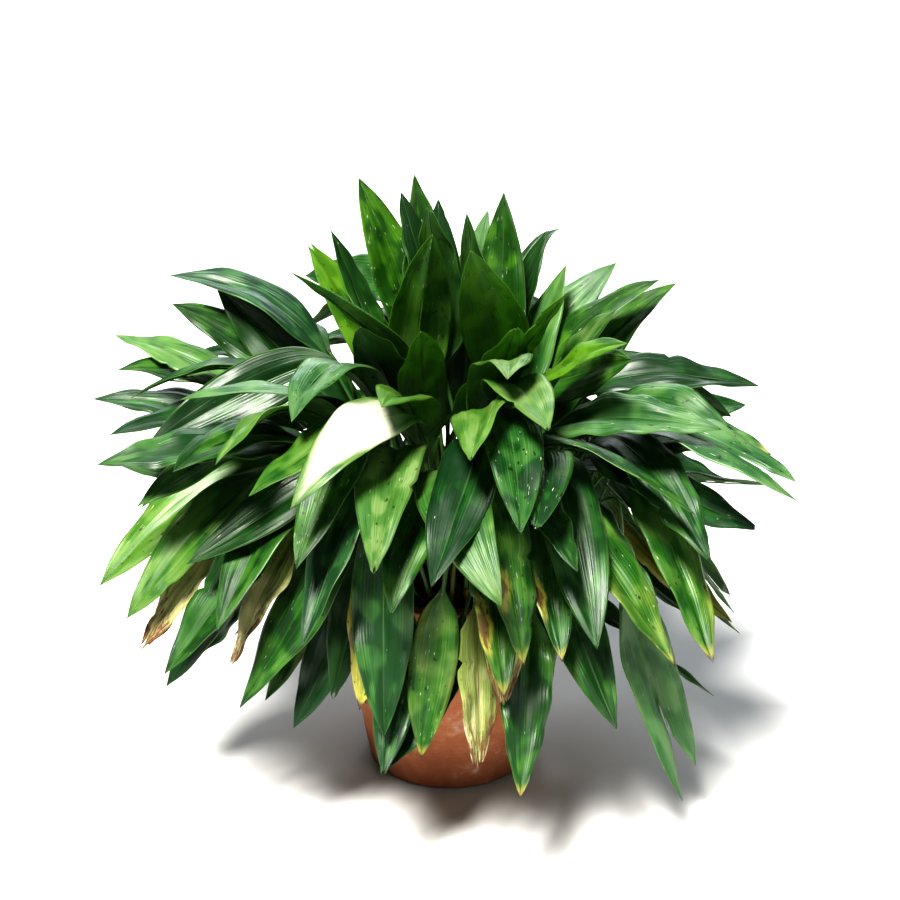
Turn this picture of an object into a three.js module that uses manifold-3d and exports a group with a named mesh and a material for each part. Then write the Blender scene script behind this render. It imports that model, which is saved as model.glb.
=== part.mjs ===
// A cast iron plant (Aspidistra) in a plain terracotta pot.
//
// Long-stalked, lance-shaped leaves rise in shoots from a rhizome under the soil, arch outwards and hang
// over the rim, so that they make a dome of foliage about 1 m across. The pot stands on the ground.
// Millimetres, +Z up. The origin is the centre of the pot's underside, and -Y is the front.

import * as THREE from "three";
import { mergeVertices } from "three/addons/utils/BufferGeometryUtils.js";
import Module from "manifold-3d";

const wasm = await Module();
wasm.setup();

// ---- Driving dimensions ----

const GAP = 0.3; // clearance between pieces that rest on each other

const POT = {
  height: 340,
  rimRadius: 190,
  rimHeight: 52,
  rimProud: 9, // how far the rim band stands out of the side
  footRadius: 128,
  wall: 12,
  floor: 18,
  edge: 5, // rounding of the rim and the foot
  sides: 36,
};

const DRAIN = { count: 4, radius: 9, circle: 62, sides: 8 };

const SOIL = { level: 300, dome: 8, relief: 2, ringCount: 2 };

// A stalk goes straight down into the soil below this height, and leans only above it.
const ROOT = { height: 314, depth: 38, spacing: 8.5, clearance: 1.2 };

// The short piece of rhizome that joins the stalks of one shoot where they stand apart.
const RHIZOME = { width: 6, height: 12, lift: 4 };

const LEAF = {
  footWidth: 11, // width of the stalk's foot, deep in the soil, where it meets its neighbours
  stalkWidth: 6.6,
  stalkTip: 6, // stalk width where the blade begins
  stalkFlatness: 0.75,
  stalkStations: [0.4, 0.75], // shares of the stalk's length
  bladeStations: [0, 0.15, 0.33, 0.53, 0.73, 0.89], // shares of the blade's length
  slenderness: 3.7, // blade length over its width
  ribThickness: 3.2,
  ribThicknessAtTip: 1.8,
  fold: 9, // degrees that each half of the blade rises from the rib
};

// Shoots stand in rings round the middle of the pot. The tall leaves come from the middle, and the
// hanging ones from the edge. Leaves that no table below places are grown, within these ranges, until
// a shoot is full.
const SHOOT_RINGS = [
  { radius: 26, count: 4, full: 4, reach: [90, 260], height: [640, 860], pitch: [30, 78] },
  { radius: 58, count: 9, full: 4, reach: [190, 370], height: [560, 760], pitch: [-10, 50] },
  { radius: 96, count: 14, full: 4, reach: [360, 490], height: [420, 640], pitch: [-32, 0] },
  { radius: 134, count: 18, full: 3, reach: [340, 460], height: [180, 460], pitch: [-62, -30] },
];
const OUTER_RING = SHOOT_RINGS.at(-1);
const LEAVES_PER_SHOOT = 4; // at most
const STALK_FAN = 7; // degrees between the first directions of neighbouring stalks in a shoot
const STALK_LEAN = [3, 34]; // degrees that stalks lean outwards, in the middle and at the edge
const BEND = [0.85, 1.15]; // how far the rib runs on straight from the soil, and into the tip
const SWEEP = 24; // degrees that a leaf's end bends sideways, at most
const DRY_BASE_RADIUS = 148;
const DRY_LEAN = 14;
const DRY_LENGTH = 540;

const CLEARANCE = 1.6; // kept between the leaves of different shoots
const TRIES = 140;
const LEAST_AHEAD = 0.3; // a leaf bends less than would turn a section's face this far from its line

// ---- The leaves that show from the front, each as it hangs ----
// [heading of the tip in degrees (-90 is the front), reach from the pot's axis, height above the ground,
//  pitch of the tip in degrees above level, blade width, how far the upper face turns to the front]

const CROWN = [
  [142, 170, 905, 66, 84, 20],
  [134, 100, 892, 72, 66, 0],
  [118, 110, 908, 76, 82, 10],
  [-114, 70, 915, 74, 80, 10],
  [106, 60, 888, 80, 72, 0],
  [-82, 90, 900, 74, 78, -10],
  [58, 150, 876, 70, 82, 10],
  [72, 180, 835, 55, 76, 0],
  [48, 220, 806, 62, 78, 15],
  [40, 230, 763, 58, 82, 15],
  [-81, 180, 882, 60, 96, 0],
  [-105, 90, 878, 66, 94, 10],
  [-48, 240, 822, 52, 98, 10],
  [-68, 240, 800, 44, 88, 20],
  [-96, 210, 800, 46, 88, -10],
  [-120, 240, 790, 42, 88, -10],
];

const UPPER = [
  [37, 320, 744, 36, 86, 25],
  [-39, 290, 800, 42, 88, 25],
  [22, 370, 730, 34, 82, 30],
  [25, 370, 590, -25, 72, 0],
  [145, 260, 790, 56, 82, 25],
  [140, 240, 801, 64, 60, 0],
  [-142, 280, 835, 50, 92, 35],
  [163, 450, 738, -4, 80, 5],
  [159, 380, 728, 40, 94, 40],
  [163, 440, 700, 22, 86, 30],
  [-48, 350, 785, 20, 84, 20],
  [-126, 370, 700, -30, 92, 0],
  [-77, 360, 770, -6, 86, 0],
  [-74, 430, 732, -8, 90, 5],
  [-90, 430, 706, -16, 96, -10],
  [-103, 380, 745, 5, 88, -10],
];

const MIDDLE = [
  [-82, 480, 505, -34, 100, 0],
  [-92, 460, 525, -32, 98, -5],
  [-102, 470, 546, -30, 96, -5],
  [-79, 460, 592, -26, 92, 0],
  [-50, 470, 554, -18, 100, 8],
  [-65, 460, 565, -24, 90, 5],
  [-115, 480, 590, -24, 100, 0],
  [-128, 470, 660, -14, 98, 10],
  [-115, 460, 515, -36, 92, 0],
  [-97, 420, 490, -44, 82, 0],
  [-125, 460, 597, -25, 86, 0],
  [-109, 420, 530, -44, 78, 0],
  [-135, 500, 636, -20, 82, 10],
  [169, 510, 662, 4, 76, 5],
  [180, 490, 640, -2, 82, 10],
  [-150, 430, 700, -8, 88, 15],
  [178, 530, 590, -6, 84, 15],
  [-155, 535, 625, -6, 88, 15],
  [-164, 500, 600, 0, 84, 20],
  [176, 480, 485, -6, 66, 20],
  [-149, 500, 542, -20, 84, 15],
  [21, 500, 513, -14, 88, 15],
  [-25, 490, 600, -8, 80, 10],
  [-36, 450, 660, 0, 76, 5],
  [26, 430, 333, -34, 80, 0],
  [12, 450, 420, -24, 82, 10],
];

const LOWER = [
  [-157, 540, 392, -38, 96, 15],
  [-151, 520, 368, -44, 80, 12],
  [-143, 500, 306, -44, 94, 10],
  [-131, 480, 408, -36, 100, 8],
  [-115, 460, 423, -44, 98, 5],
  [-133, 430, 254, -52, 90, 0],
  [-120, 340, 259, -62, 84, 0],
  [-111, 380, 294, -60, 82, 0],
  [-103, 400, 258, -62, 88, 5],
  [-95, 370, 210, -72, 68, 0],
  [-69, 350, 244, -62, 56, 0],
  [-74, 430, 410, -50, 92, 5],
  [-64, 450, 409, -40, 94, 8],
  [-44, 500, 352, -42, 88, 10],
  [-49, 470, 370, -42, 84, 5],
  [-43, 480, 495, -30, 80, 10],
  [-30, 480, 470, -30, 80, 10],
];

// Leaves whose ends have torn along the middle into two points.
const FORKED = [
  { place: [-36, 440, 80, -62, 96, 6], length: 760, torn: 0.3, spread: 0.5 },
  { place: [-32, 560, 580, -22, 88, 6], length: 690, torn: 0.2, spread: 0.4 },
  { place: [0, 440, 250, -50, 84, 0], length: 640, torn: 0.12, spread: 0.4 },
];

// Old leaves that have dried to straw. Each hangs by itself from the edge of the clump.
const DRY = [
  [-83, 370, 191, -72, 66, 0],
  [-79, 380, 290, -66, 76, 0],
  [-136, 430, 310, -56, 60, 20],
  [-112, 310, 230, -74, 44, 0],
  [-152, 505, 300, -50, 50, 20],
  [60, 380, 220, -66, 64, 0],
  [120, 390, 270, -62, 60, 0],
];

// ---- Small helpers ----

const radians = THREE.MathUtils.degToRad;
const mix = THREE.MathUtils.lerp;
const UP = new THREE.Vector3(0, 0, 1);

/** A repeatable stream of numbers from 0 to 1. */
function randomStream(seed) {
  let state = seed;
  return () => {
    state = (state + 0x6d2b79f5) | 0;
    let t = Math.imul(state ^ (state >>> 15), 1 | state);
    t = (t + Math.imul(t ^ (t >>> 7), 61 | t)) ^ t;
    return ((t ^ (t >>> 14)) >>> 0) / 4294967296;
  };
}

const random = randomStream(20);
const between = (low, high) => mix(low, high, random());

const polar = (degrees, radius, height = 0) =>
  new THREE.Vector3(
    radius * Math.cos(radians(degrees)),
    radius * Math.sin(radians(degrees)),
    height,
  );

/** The smallest angle between two headings, in degrees. */
function angleBetween(a, b) {
  const turn = Math.abs(a - b) % 360;
  return Math.min(turn, 360 - turn);
}

/** A closed geometry as a solid that can be joined and cut. */
function solidFrom(geometry) {
  const bare = geometry.clone();
  bare.deleteAttribute("normal");
  bare.deleteAttribute("uv");
  const merged = mergeVertices(bare, 1e-3);
  return new wasm.Manifold(
    new wasm.Mesh({
      numProp: 3,
      vertProperties: new Float32Array(merged.attributes.position.array),
      triVerts: new Uint32Array(merged.index.array),
    }),
  );
}

/** A solid as geometry with flat faces. */
function geometryFrom(solid) {
  const mesh = solid.getMesh();
  const geometry = new THREE.BufferGeometry();
  geometry.setAttribute("position", new THREE.BufferAttribute(mesh.vertProperties, 3));
  geometry.setIndex(new THREE.BufferAttribute(mesh.triVerts, 1));
  const flat = geometry.toNonIndexed();
  flat.computeVertexNormals();
  return flat;
}

/** A solid of revolution about Z from [radius, height] points. */
function turned(points, sides) {
  const profile = points.map(([radius, height]) => new THREE.Vector2(radius, height));
  return new THREE.LatheGeometry(profile, sides).rotateX(Math.PI / 2);
}

// ---- Pot and soil ----

/** Outer radius of the pot's side at a height, without the rim band. */
function sideRadius(height) {
  const top = POT.rimRadius - POT.rimProud;
  return mix(POT.footRadius, top, height / POT.height);
}

function potSolid() {
  const { height, rimRadius, rimHeight, footRadius, wall, floor, edge } = POT;
  const band = height - rimHeight;
  const inner = (z) => sideRadius(z) - wall;
  const body = solidFrom(
    turned(
      [
        [0, 0],
        [footRadius - edge, 0],
        [footRadius, edge],
        [sideRadius(band), band],
        [rimRadius - 2, band + 2],
        [rimRadius, band + edge],
        [rimRadius, height - edge],
        [rimRadius - edge, height],
        [inner(height) + edge, height],
        [inner(height), height - edge],
        [inner(floor + 12), floor + 12],
        [inner(floor) - 10, floor],
        [0, floor],
      ],
      POT.sides,
    ),
  );
  const holes = Array.from({ length: DRAIN.count }, (_, i) => {
    const at = polar(45 + (i * 360) / DRAIN.count, DRAIN.circle, floor / 2);
    const drill = new THREE.CylinderGeometry(DRAIN.radius, DRAIN.radius, 3 * floor, DRAIN.sides);
    return solidFrom(drill.rotateX(Math.PI / 2).translate(at.x, at.y, at.z));
  });
  return holes.reduce((pot, hole) => pot.subtract(hole), body);
}

/** Height of the soil at a point: a low dome with clods. */
function soilHeight(x, y) {
  const share = Math.hypot(x, y) / sideRadius(SOIL.level);
  const clods = Math.sin(x / 13 + 1) * Math.cos(y / 11) + 0.5 * Math.sin((x + y) / 7);
  return SOIL.level + SOIL.dome * (1 - share * share) + SOIL.relief * clods * (1 - share);
}

function soilSolid(shoots) {
  const inner = (z) => sideRadius(z) - POT.wall - GAP;
  const low = POT.floor + GAP;
  const edgeRadius = inner(SOIL.level);
  const rings = Array.from({ length: SOIL.ringCount }, (_, i) => [
    (edgeRadius * (SOIL.ringCount - i)) / (SOIL.ringCount + 1),
    SOIL.level,
  ]);
  const mound = turned(
    [
      [0, low],
      [inner(low) - 11, low],
      [inner(low + 13), low + 13],
      [edgeRadius, SOIL.level],
      ...rings,
      [0, SOIL.level],
    ],
    POT.sides,
  );
  const position = mound.attributes.position;
  for (let i = 0; i < position.count; i += 1) {
    const [x, y, z] = [position.getX(i), position.getY(i), position.getZ(i)];
    if (z > SOIL.level - 1 && Math.hypot(x, y) < edgeRadius - 1) {
      position.setZ(i, soilHeight(x, y));
    }
  }
  return shoots.reduce((soil, shoot) => soil.subtract(holeFor(shoot)), solidFrom(mound));
}

/** How far a shoot's outermost stalk stands from the middle of the shoot. */
const shootHalfSpan = (shoot) => Math.max(...shoot.leaves.map(({ place }) => Math.abs(place))) * ROOT.spacing;

/** An upright block across a shoot, turned to the shoot's heading, that starts at a height. */
function blockAt(shoot, along, across, height, bottom) {
  return solidFrom(
    new THREE.BoxGeometry(along, across, height)
      .rotateZ(radians(shoot.heading))
      .translate(shoot.base.x, shoot.base.y, bottom + height / 2),
  );
}

/** The plain hole in the soil that a shoot's stalks stand in. */
function holeFor(shoot) {
  const along = LEAF.footWidth * LEAF.stalkFlatness + 2 * ROOT.clearance;
  const across = 2 * shootHalfSpan(shoot) + LEAF.footWidth + 2 * ROOT.clearance;
  return blockAt(shoot, along, across, 60, ROOT.height - ROOT.depth - GAP);
}

/** The leaves of a shoot as one body. A piece of rhizome joins stalks that don't touch each other. */
function shootSolid(shoot) {
  const joined = shoot.leaves.map(({ solid }) => solid).reduce((whole, leaf) => whole.add(leaf));
  const places = shoot.leaves.map(({ place }) => place).sort((a, b) => a - b);
  if (places.every((place, i) => i === 0 || place - places[i - 1] === 1)) return joined;
  const across = 2 * shootHalfSpan(shoot) + RHIZOME.width;
  const bottom = ROOT.height - ROOT.depth + RHIZOME.lift;
  return joined.add(blockAt(shoot, RHIZOME.width, across, RHIZOME.height, bottom));
}

// ---- One leaf ----

/** The rib's line, a cubic whose handles are as long as the leaf's length needs. */
function ribLine({ root, tip, heading, lean, fan, pitch, sweep, length }) {
  const toward = (bearing, rise) => polar(bearing, Math.cos(radians(rise)), Math.sin(radians(rise)));
  const [start, end] = [toward(heading, 90 - lean).add(fan).normalize(), toward(heading + sweep, pitch)];
  const curveFor = (share) => {
    const curve = new THREE.CubicBezierCurve3(
      root,
      root.clone().addScaledVector(start, BEND[0] * share * length),
      tip.clone().addScaledVector(end, -BEND[1] * share * length),
      tip,
    );
    curve.arcLengthDivisions = 24;
    return curve;
  };
  let [short, long] = [0.08, 1];
  for (let step = 0; step < 9; step += 1) {
    const share = (short + long) / 2;
    if (curveFor(share).getLength() < length) short = share;
    else long = share;
  }
  return curveFor((short + long) / 2);
}

/** Blade width as a share of its widest, from its base at 0 to its tip at 1. */
const bladeShape = (u) => Math.sin(Math.PI * u ** 0.84) ** 0.8;

/** One ring of a leaf's section: left edge, top of the rib, right edge, underside of the rib. */
function ringAt({ centre, side, normal, width, thickness, fold, waveLeft, waveRight, margin }) {
  const half = width / 2 + margin;
  const [flat, rise] = [half * Math.cos(fold), half * Math.sin(fold)];
  const at = (across, above) =>
    centre.clone().addScaledVector(side, across).addScaledVector(normal, above);
  const thick = thickness / 2 + margin;
  return [at(-flat, rise + waveLeft), at(0, thick), at(flat, rise + waveRight), at(0, -thick)];
}

/** The rings of a leaf from its root to its tip, and the tip itself. */
function leafRings(plan, margin = 0) {
  const curve = ribLine(plan);
  const bladeStart = 1 - Math.min(0.74, (LEAF.slenderness * Math.max(plan.width, 62)) / plan.length);
  const level = polar(plan.heading - 90, 1);
  const rings = [];
  const frameAt = (share, turn) => {
    const centre = curve.getPointAt(share);
    const along = curve.getTangentAt(share);
    const normal = new THREE.Vector3().crossVectors(level, along).applyAxisAngle(along, radians(turn));
    const side = new THREE.Vector3().crossVectors(along, normal);
    return { centre, side, normal: normal.normalize(), along };
  };
  const stalk = { fold: 0, waveLeft: 0, waveRight: 0, margin };
  const foot = polar(plan.footing, 1);
  const buried = plan.root.clone().setZ(ROOT.height - ROOT.depth - margin);
  const across = polar(plan.footing - 90, 1);
  const upright = { ...stalk, side: across, normal: foot.negate() };
  [
    [buried, LEAF.footWidth],
    [plan.root, LEAF.stalkWidth],
  ].forEach(([centre, width]) => {
    rings.push(ringAt({ ...upright, centre, width, thickness: width * LEAF.stalkFlatness }));
  });
  LEAF.stalkStations.forEach((share) => {
    const width = mix(LEAF.stalkWidth, LEAF.stalkTip, share);
    const frame = frameAt(share * bladeStart, plan.turn * share);
    rings.push(ringAt({ ...frame, width, thickness: width * LEAF.stalkFlatness, ...stalk }));
  });
  const stations = LEAF.bladeStations.filter((u) => !plan.torn || u < 1 - plan.torn);
  if (plan.torn) stations.push(1 - plan.torn);
  stations.forEach((u) => {
    const share = mix(bladeStart, 1, u);
    const shape = plan.torn ? bladeShape(u * 0.9) : bladeShape(u);
    const width = LEAF.stalkTip * (1 - u) + plan.width * shape;
    const calm = Math.min(1, 4 * u) * Math.min(1, 3.2 * (1 - u));
    const wave = (phase) => plan.wave * calm * Math.sin(2 * Math.PI * (plan.waves * u + phase));
    rings.push(
      ringAt({
        ...frameAt(share, plan.turn + plan.twist * u),
        width,
        thickness: mix(LEAF.ribThickness, LEAF.ribThicknessAtTip, u),
        fold: radians(LEAF.fold + plan.foldMore) * Math.min(1, 3 * u + 0.2),
        waveLeft: wave(plan.phase),
        waveRight: wave(plan.phase + plan.phaseShift),
        margin,
      }),
    );
  });
  if (plan.torn) {
    rings.push(tornRing(plan, frameAt, bladeStart, margin));
    return { rings, tip: null };
  }
  const end = frameAt(1, 0);
  return { rings, tip: end.centre.addScaledVector(end.along, margin) };
}

/** The last ring of a torn leaf: its edges are the two points, and its rib is the bottom of the tear. */
function tornRing(plan, frameAt, bladeStart, margin) {
  const neck = 1 - plan.torn;
  const turn = plan.turn + plan.twist;
  const tearEnd = frameAt(mix(bladeStart, 1, neck + 0.15 * plan.torn), turn);
  const rib = ringAt({
    ...tearEnd,
    width: 1,
    thickness: LEAF.ribThicknessAtTip,
    fold: 0,
    waveLeft: 0,
    waveRight: 0,
    margin,
  });
  const half = (plan.width / 2) * plan.spread;
  const pointAt = (share, across) => {
    const { centre, side } = frameAt(mix(bladeStart, 1, share), turn);
    return centre.addScaledVector(side, across);
  };
  return [pointAt(1 - 0.3 * plan.torn, -half), rib[1], pointAt(1, half), rib[3]];
}

/** Closes rings of four into a solid. Both faces of a blade are split into triangles alike. */
function loft({ rings, tip }) {
  const points = rings.flat();
  const faces = [];
  const last = rings.length - 1;
  const edges = [0, 2];
  const ribs = [1, 3];
  const index = (ring, corner) => 4 * ring + corner;
  const add = (a, b, c, flip) => faces.push(...(flip ? [a, c, b] : [a, b, c]));
  for (let ring = 0; ring < last; ring += 1) {
    for (const edge of edges) {
      for (const rib of ribs) {
        const [e0, r0] = [index(ring, edge), index(ring, rib)];
        const [e1, r1] = [index(ring + 1, edge), index(ring + 1, rib)];
        const flip = (edge + 1) % 4 !== rib;
        add(e0, r0, r1, flip);
        add(e0, r1, e1, flip);
      }
    }
  }
  add(0, 2, 1, false);
  add(0, 3, 2, false);
  if (tip) {
    points.push(tip);
    for (let corner = 0; corner < 4; corner += 1) {
      add(index(last, corner), index(last, (corner + 1) % 4), points.length - 1, false);
    }
  } else {
    add(index(last, 0), index(last, 1), index(last, 3), false);
    add(index(last, 2), index(last, 3), index(last, 1), false);
  }
  return new wasm.Manifold(
    new wasm.Mesh({
      numProp: 3,
      vertProperties: new Float32Array(points.flatMap((p) => p.toArray())),
      triVerts: new Uint32Array(faces),
    }),
  );
}

// ---- Leaves find their room ----

/** The leaf with its solid and, for the search, the box round it and its part above the soil. */
function grow(plan, margin = 0) {
  const { rings, tip } = leafRings(plan, margin);
  const box = new THREE.Box3().setFromPoints(rings.flat());
  const free = rings.slice(1);
  return { plan, box, rings, solid: loft({ rings, tip }), upper: () => loft({ rings: free, tip }) };
}

/** Whether a leaf bends or twists so sharply between two sections that its faces would cross. */
function kinked(rings) {
  const sections = rings.map(([left, top, right, bottom]) => {
    const side = right.clone().sub(left);
    const normal = top.clone().sub(bottom);
    const centre = top.clone().add(bottom).multiplyScalar(0.5);
    return { centre, side: side.clone().normalize(), facing: normal.cross(side).normalize() };
  });
  return sections.slice(1).some((after, i) => {
    const before = sections[i];
    const step = after.centre.clone().sub(before.centre).normalize();
    const ahead = Math.min(Math.abs(step.dot(before.facing)), Math.abs(step.dot(after.facing)));
    return ahead < LEAST_AHEAD || (i > 1 && before.side.dot(after.side) < 0);
  });
}

const meets = (a, b) => {
  const common = a.intersect(b);
  const found = !common.isEmpty();
  common.delete();
  return found;
};

/** Whether a leaf, grown with a margin, runs into one that already stands. */
function blocked(leaf, others, shoot) {
  return others.some((other) => {
    if (!leaf.box.intersectsBox(other.box)) return false;
    if (other.shoot !== shoot) return meets(leaf.solid, other.solid);
    const [mine, theirs] = [leaf.upper(), other.upper()];
    const found = meets(mine, theirs);
    mine.delete();
    theirs.delete();
    return found;
  });
}

/** A plan changed a little more at each try, as a leaf that pushes past its neighbours. */
function nudged(plan, attempt) {
  const push = Math.sqrt(attempt / TRIES);
  const swing = (amount) => amount * push * between(-1, 1);
  const heading = plan.tipHeading + swing(11);
  const reach = plan.reach * (1 + swing(0.06));
  return {
    ...plan,
    tip: polar(heading, reach, plan.height + swing(plan.sway)),
    length: plan.length * (1 + push * between(-0.12, 0.25)),
    lean: plan.lean + swing(14),
    pitch: plan.pitch + swing(20),
    turn: plan.turn + swing(60),
    twist: plan.twist + swing(30),
    width: plan.width * (1 - 0.2 * push * random()),
    wave: plan.wave * (1 - 0.5 * push),
  };
}

/** Puts a leaf where it has room. Returns whether it found any. */
function settle(plan, shoot, place) {
  const start = rooted(plan, shoot, place);
  for (let attempt = 0; attempt < TRIES; attempt += 1) {
    const trial = nudged(start, attempt);
    const probe = grow(trial, CLEARANCE);
    const hit = kinked(probe.rings) || blocked(probe, standing, shoot);
    probe.solid.delete();
    if (!hit) {
      const leaf = { ...grow(trial), shoot, place };
      shoot.leaves.push(leaf);
      standing.push(leaf);
      return true;
    }
  }
  return false;
}

// ---- Planting ----

const pot = potSolid();
const potBox = new THREE.Box3(
  new THREE.Vector3(-POT.rimRadius, -POT.rimRadius, 0),
  new THREE.Vector3(POT.rimRadius, POT.rimRadius, POT.height),
);
const standing = [{ solid: pot, box: potBox, shoot: null }];

/** A shoot that can hold leaves at the given places along its rhizome. */
function emptyShoot(heading, radius, ring, dry) {
  return { heading, ring, dry, base: polar(heading, radius), plans: [], spare: [], leaves: [] };
}

const shoots = SHOOT_RINGS.flatMap((ring, i) =>
  Array.from({ length: ring.count }, (_, k) => {
    const heading = -90 + ((k + 0.5 * (i % 2)) * 360) / ring.count;
    return emptyShoot(heading, ring.radius, ring, false);
  }),
);

/** Where on the soil a leaf would start: a tall leaf near the middle, a hanging one near the edge. */
function wantedBase({ tipHeading, height }) {
  const radius = OUTER_RING.radius * (1.12 - (height - 180) / 720);
  return polar(tipHeading, THREE.MathUtils.clamp(radius, SHOOT_RINGS[0].radius, OUTER_RING.radius));
}

/** Shoots in the order of how near they stand to where a leaf would start. */
function nearestTo(plan, candidates) {
  const wanted = wantedBase(plan);
  return [...candidates].sort((a, b) => a.base.distanceTo(wanted) - b.base.distanceTo(wanted));
}

/** A leaf's plan from its place in the tables. */
function leafPlan([tipHeading, reach, height, pitch, width, facing], extra = {}) {
  return {
    tipHeading,
    reach,
    height,
    pitch,
    width,
    turn: facing * Math.cos(radians(tipHeading)) + between(-11, 11),
    twist: between(-18, 18),
    sweep: between(-SWEEP, SWEEP),
    foldMore: between(-4, 5),
    wave: between(2, 6),
    waves: between(1.1, 1.9),
    phase: random(),
    phaseShift: between(0.1, 0.6),
    sway: 50,
    ...extra,
  };
}

/** Fits a plan to its place in the shoot that it grows from. */
function rooted(plan, shoot, place) {
  const offset = polar(shoot.heading + 90, place * ROOT.spacing);
  const root = shoot.base.clone().add(offset).setZ(ROOT.height);
  const tip = polar(plan.tipHeading, plan.reach, plan.height);
  const run = tip.clone().sub(root).setZ(0);
  const bearing = THREE.MathUtils.radToDeg(Math.atan2(run.y, run.x));
  const droop = THREE.MathUtils.clamp((40 - plan.pitch) / 120, 0, 1);
  const grownLength = Math.max(tip.distanceTo(root) * mix(1.02, 1.12, droop), mix(520, 640, droop));
  const heading = run.length() > 60 ? bearing : plan.tipHeading;
  const ahead = Math.cos(radians(heading - shoot.heading)) >= 0;
  return {
    ...plan,
    root,
    heading,
    footing: shoot.heading + (ahead ? 0 : 180),
    fan: polar(shoot.heading + 90, place * Math.sin(radians(STALK_FAN))),
    lean: shoot.dry ? DRY_LEAN : mix(...STALK_LEAN, shoot.ring.radius / OUTER_RING.radius),
    length: plan.length ?? grownLength,
  };
}

/** How far a plan's heading lies to the left of its shoot's, in degrees from -180 to 180. */
const leftOf = (shoot, plan) => ((plan.tipHeading - shoot.heading + 540) % 360) - 180;

/** Shares out the places along a shoot's rhizome to its plans, and keeps the others spare. */
function sharePlaces(shoot) {
  const count = shoot.dry ? 1 : Math.max(shoot.ring.full, shoot.plans.length);
  const places = Array.from({ length: count }, (_, i) => i - (count - 1) / 2);
  const outward = [...places].sort((a, b) => Math.abs(b) - Math.abs(a));
  shoot.spare = outward.slice(0, count - shoot.plans.length);
  const taken = places.filter((place) => !shoot.spare.includes(place));
  shoot.plans.sort((a, b) => leftOf(shoot, a) - leftOf(shoot, b));
  shoot.plans.forEach((plan, i) => {
    plan.place = taken[i];
  });
}

/** A further leaf for a shoot, drawn at random within what its ring carries. */
function furtherPlan({ heading, ring }, place) {
  const tipHeading = heading + 14 * place + between(-14, 14);
  const tip = [tipHeading, between(...ring.reach), between(...ring.height), between(...ring.pitch)];
  return leafPlan([...tip, between(72, 94), between(-5, 30)], { sway: 80 });
}

/** How far behind the pot's axis a leaf's tip hangs. The leaves in front are planted first. */
const depthOf = ({ tipHeading, reach }) => polar(tipHeading, reach).y;

const torn = FORKED.map(({ place, ...tear }) => leafPlan(place, { ...tear, twist: 0, sweep: 0 }));
const whole = [...MIDDLE, ...LOWER, ...UPPER, ...CROWN].map((place) => leafPlan(place));
whole.sort((a, b) => depthOf(a) - depthOf(b));
[...torn, ...whole].forEach((plan, order) => {
  plan.order = order;
  const open = shoots.filter((shoot) => shoot.plans.length < LEAVES_PER_SHOOT);
  nearestTo(plan, open)[0].plans.push(plan);
});
DRY.forEach((place) => {
  const step = 360 / OUTER_RING.count;
  const heading = -90 + step * Math.round((place[0] + 90) / step);
  const shoot = emptyShoot(heading, DRY_BASE_RADIUS, OUTER_RING, true);
  shoot.plans.push(leafPlan(place, { order: 0, length: DRY_LENGTH }));
  shoots.push(shoot);
});
shoots.forEach(sharePlaces);

const planned = shoots.flatMap((shoot) => shoot.plans.map((plan) => ({ plan, shoot })));
planned.sort((a, b) => a.plan.order - b.plan.order);
const crowdedOut = planned.filter(({ plan, shoot }) => !settle(plan, shoot, plan.place));
crowdedOut.forEach(({ plan }) => {
  const roomy = shoots.filter((shoot) => shoot.spare.length > 0);
  const found = nearestTo(plan, roomy)
    .slice(0, 12)
    .find((shoot) => settle(plan, shoot, shoot.spare[0]));
  found?.spare.shift();
});
shoots.forEach((shoot) => {
  shoot.spare.forEach((place) => {
    let found = false;
    for (let draw = 0; draw < 8 && !found; draw += 1) {
      found = settle(furtherPlan(shoot, place), shoot, place);
    }
  });
});

// ---- The plant ----

const material = (name, color, roughness) =>
  Object.assign(new THREE.MeshStandardMaterial({ color, roughness, metalness: 0 }), { name });
const TERRACOTTA = material("terracotta", 0xb5623c, 0.85);
const EARTH = material("earth", 0x2e2118, 1);
const GREEN = material("leaf_green", 0x2c6a2a, 0.42);
const STRAW = material("leaf_straw", 0xb9a765, 0.7);

const plantGroup = new THREE.Group();
plantGroup.name = "potted_cast_iron_plant";

function addNode(name, solid, look) {
  const mesh = new THREE.Mesh(geometryFrom(solid), look);
  mesh.name = name;
  plantGroup.add(mesh);
}

const grown = shoots.filter((shoot) => shoot.leaves.length > 0);
addNode("pot", pot, TERRACOTTA);
addNode("soil", soilSolid(grown), EARTH);
grown
  .filter((shoot) => !shoot.dry)
  .forEach((shoot, i) => addNode(`shoot_${String(i + 1).padStart(2, "0")}`, shootSolid(shoot), GREEN));
grown
  .filter((shoot) => shoot.dry)
  .forEach((shoot, i) => addNode(`dry_leaf_${i + 1}`, shootSolid(shoot), STRAW));

export default plantGroup;
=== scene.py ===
"""Visual model of a potted cast iron plant.

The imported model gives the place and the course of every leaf. This script reads each leaf's rings off
its solid, and grows a fine leaf along them: a grooved stalk, a pleated blade with a keel under it, and
margins that wave and tear. The pot is turned again with soft edges, and the soil is broken up into crumbs.
"""

import logging
import math
from dataclasses import dataclass, field, replace
from enum import Enum
from random import Random
from typing import Any, Iterable, Optional, Sequence, Union

import bmesh
import bpy
from bmesh.types import BMesh, BMEdge, BMVert
from mathutils import Matrix, Vector, noise


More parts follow.
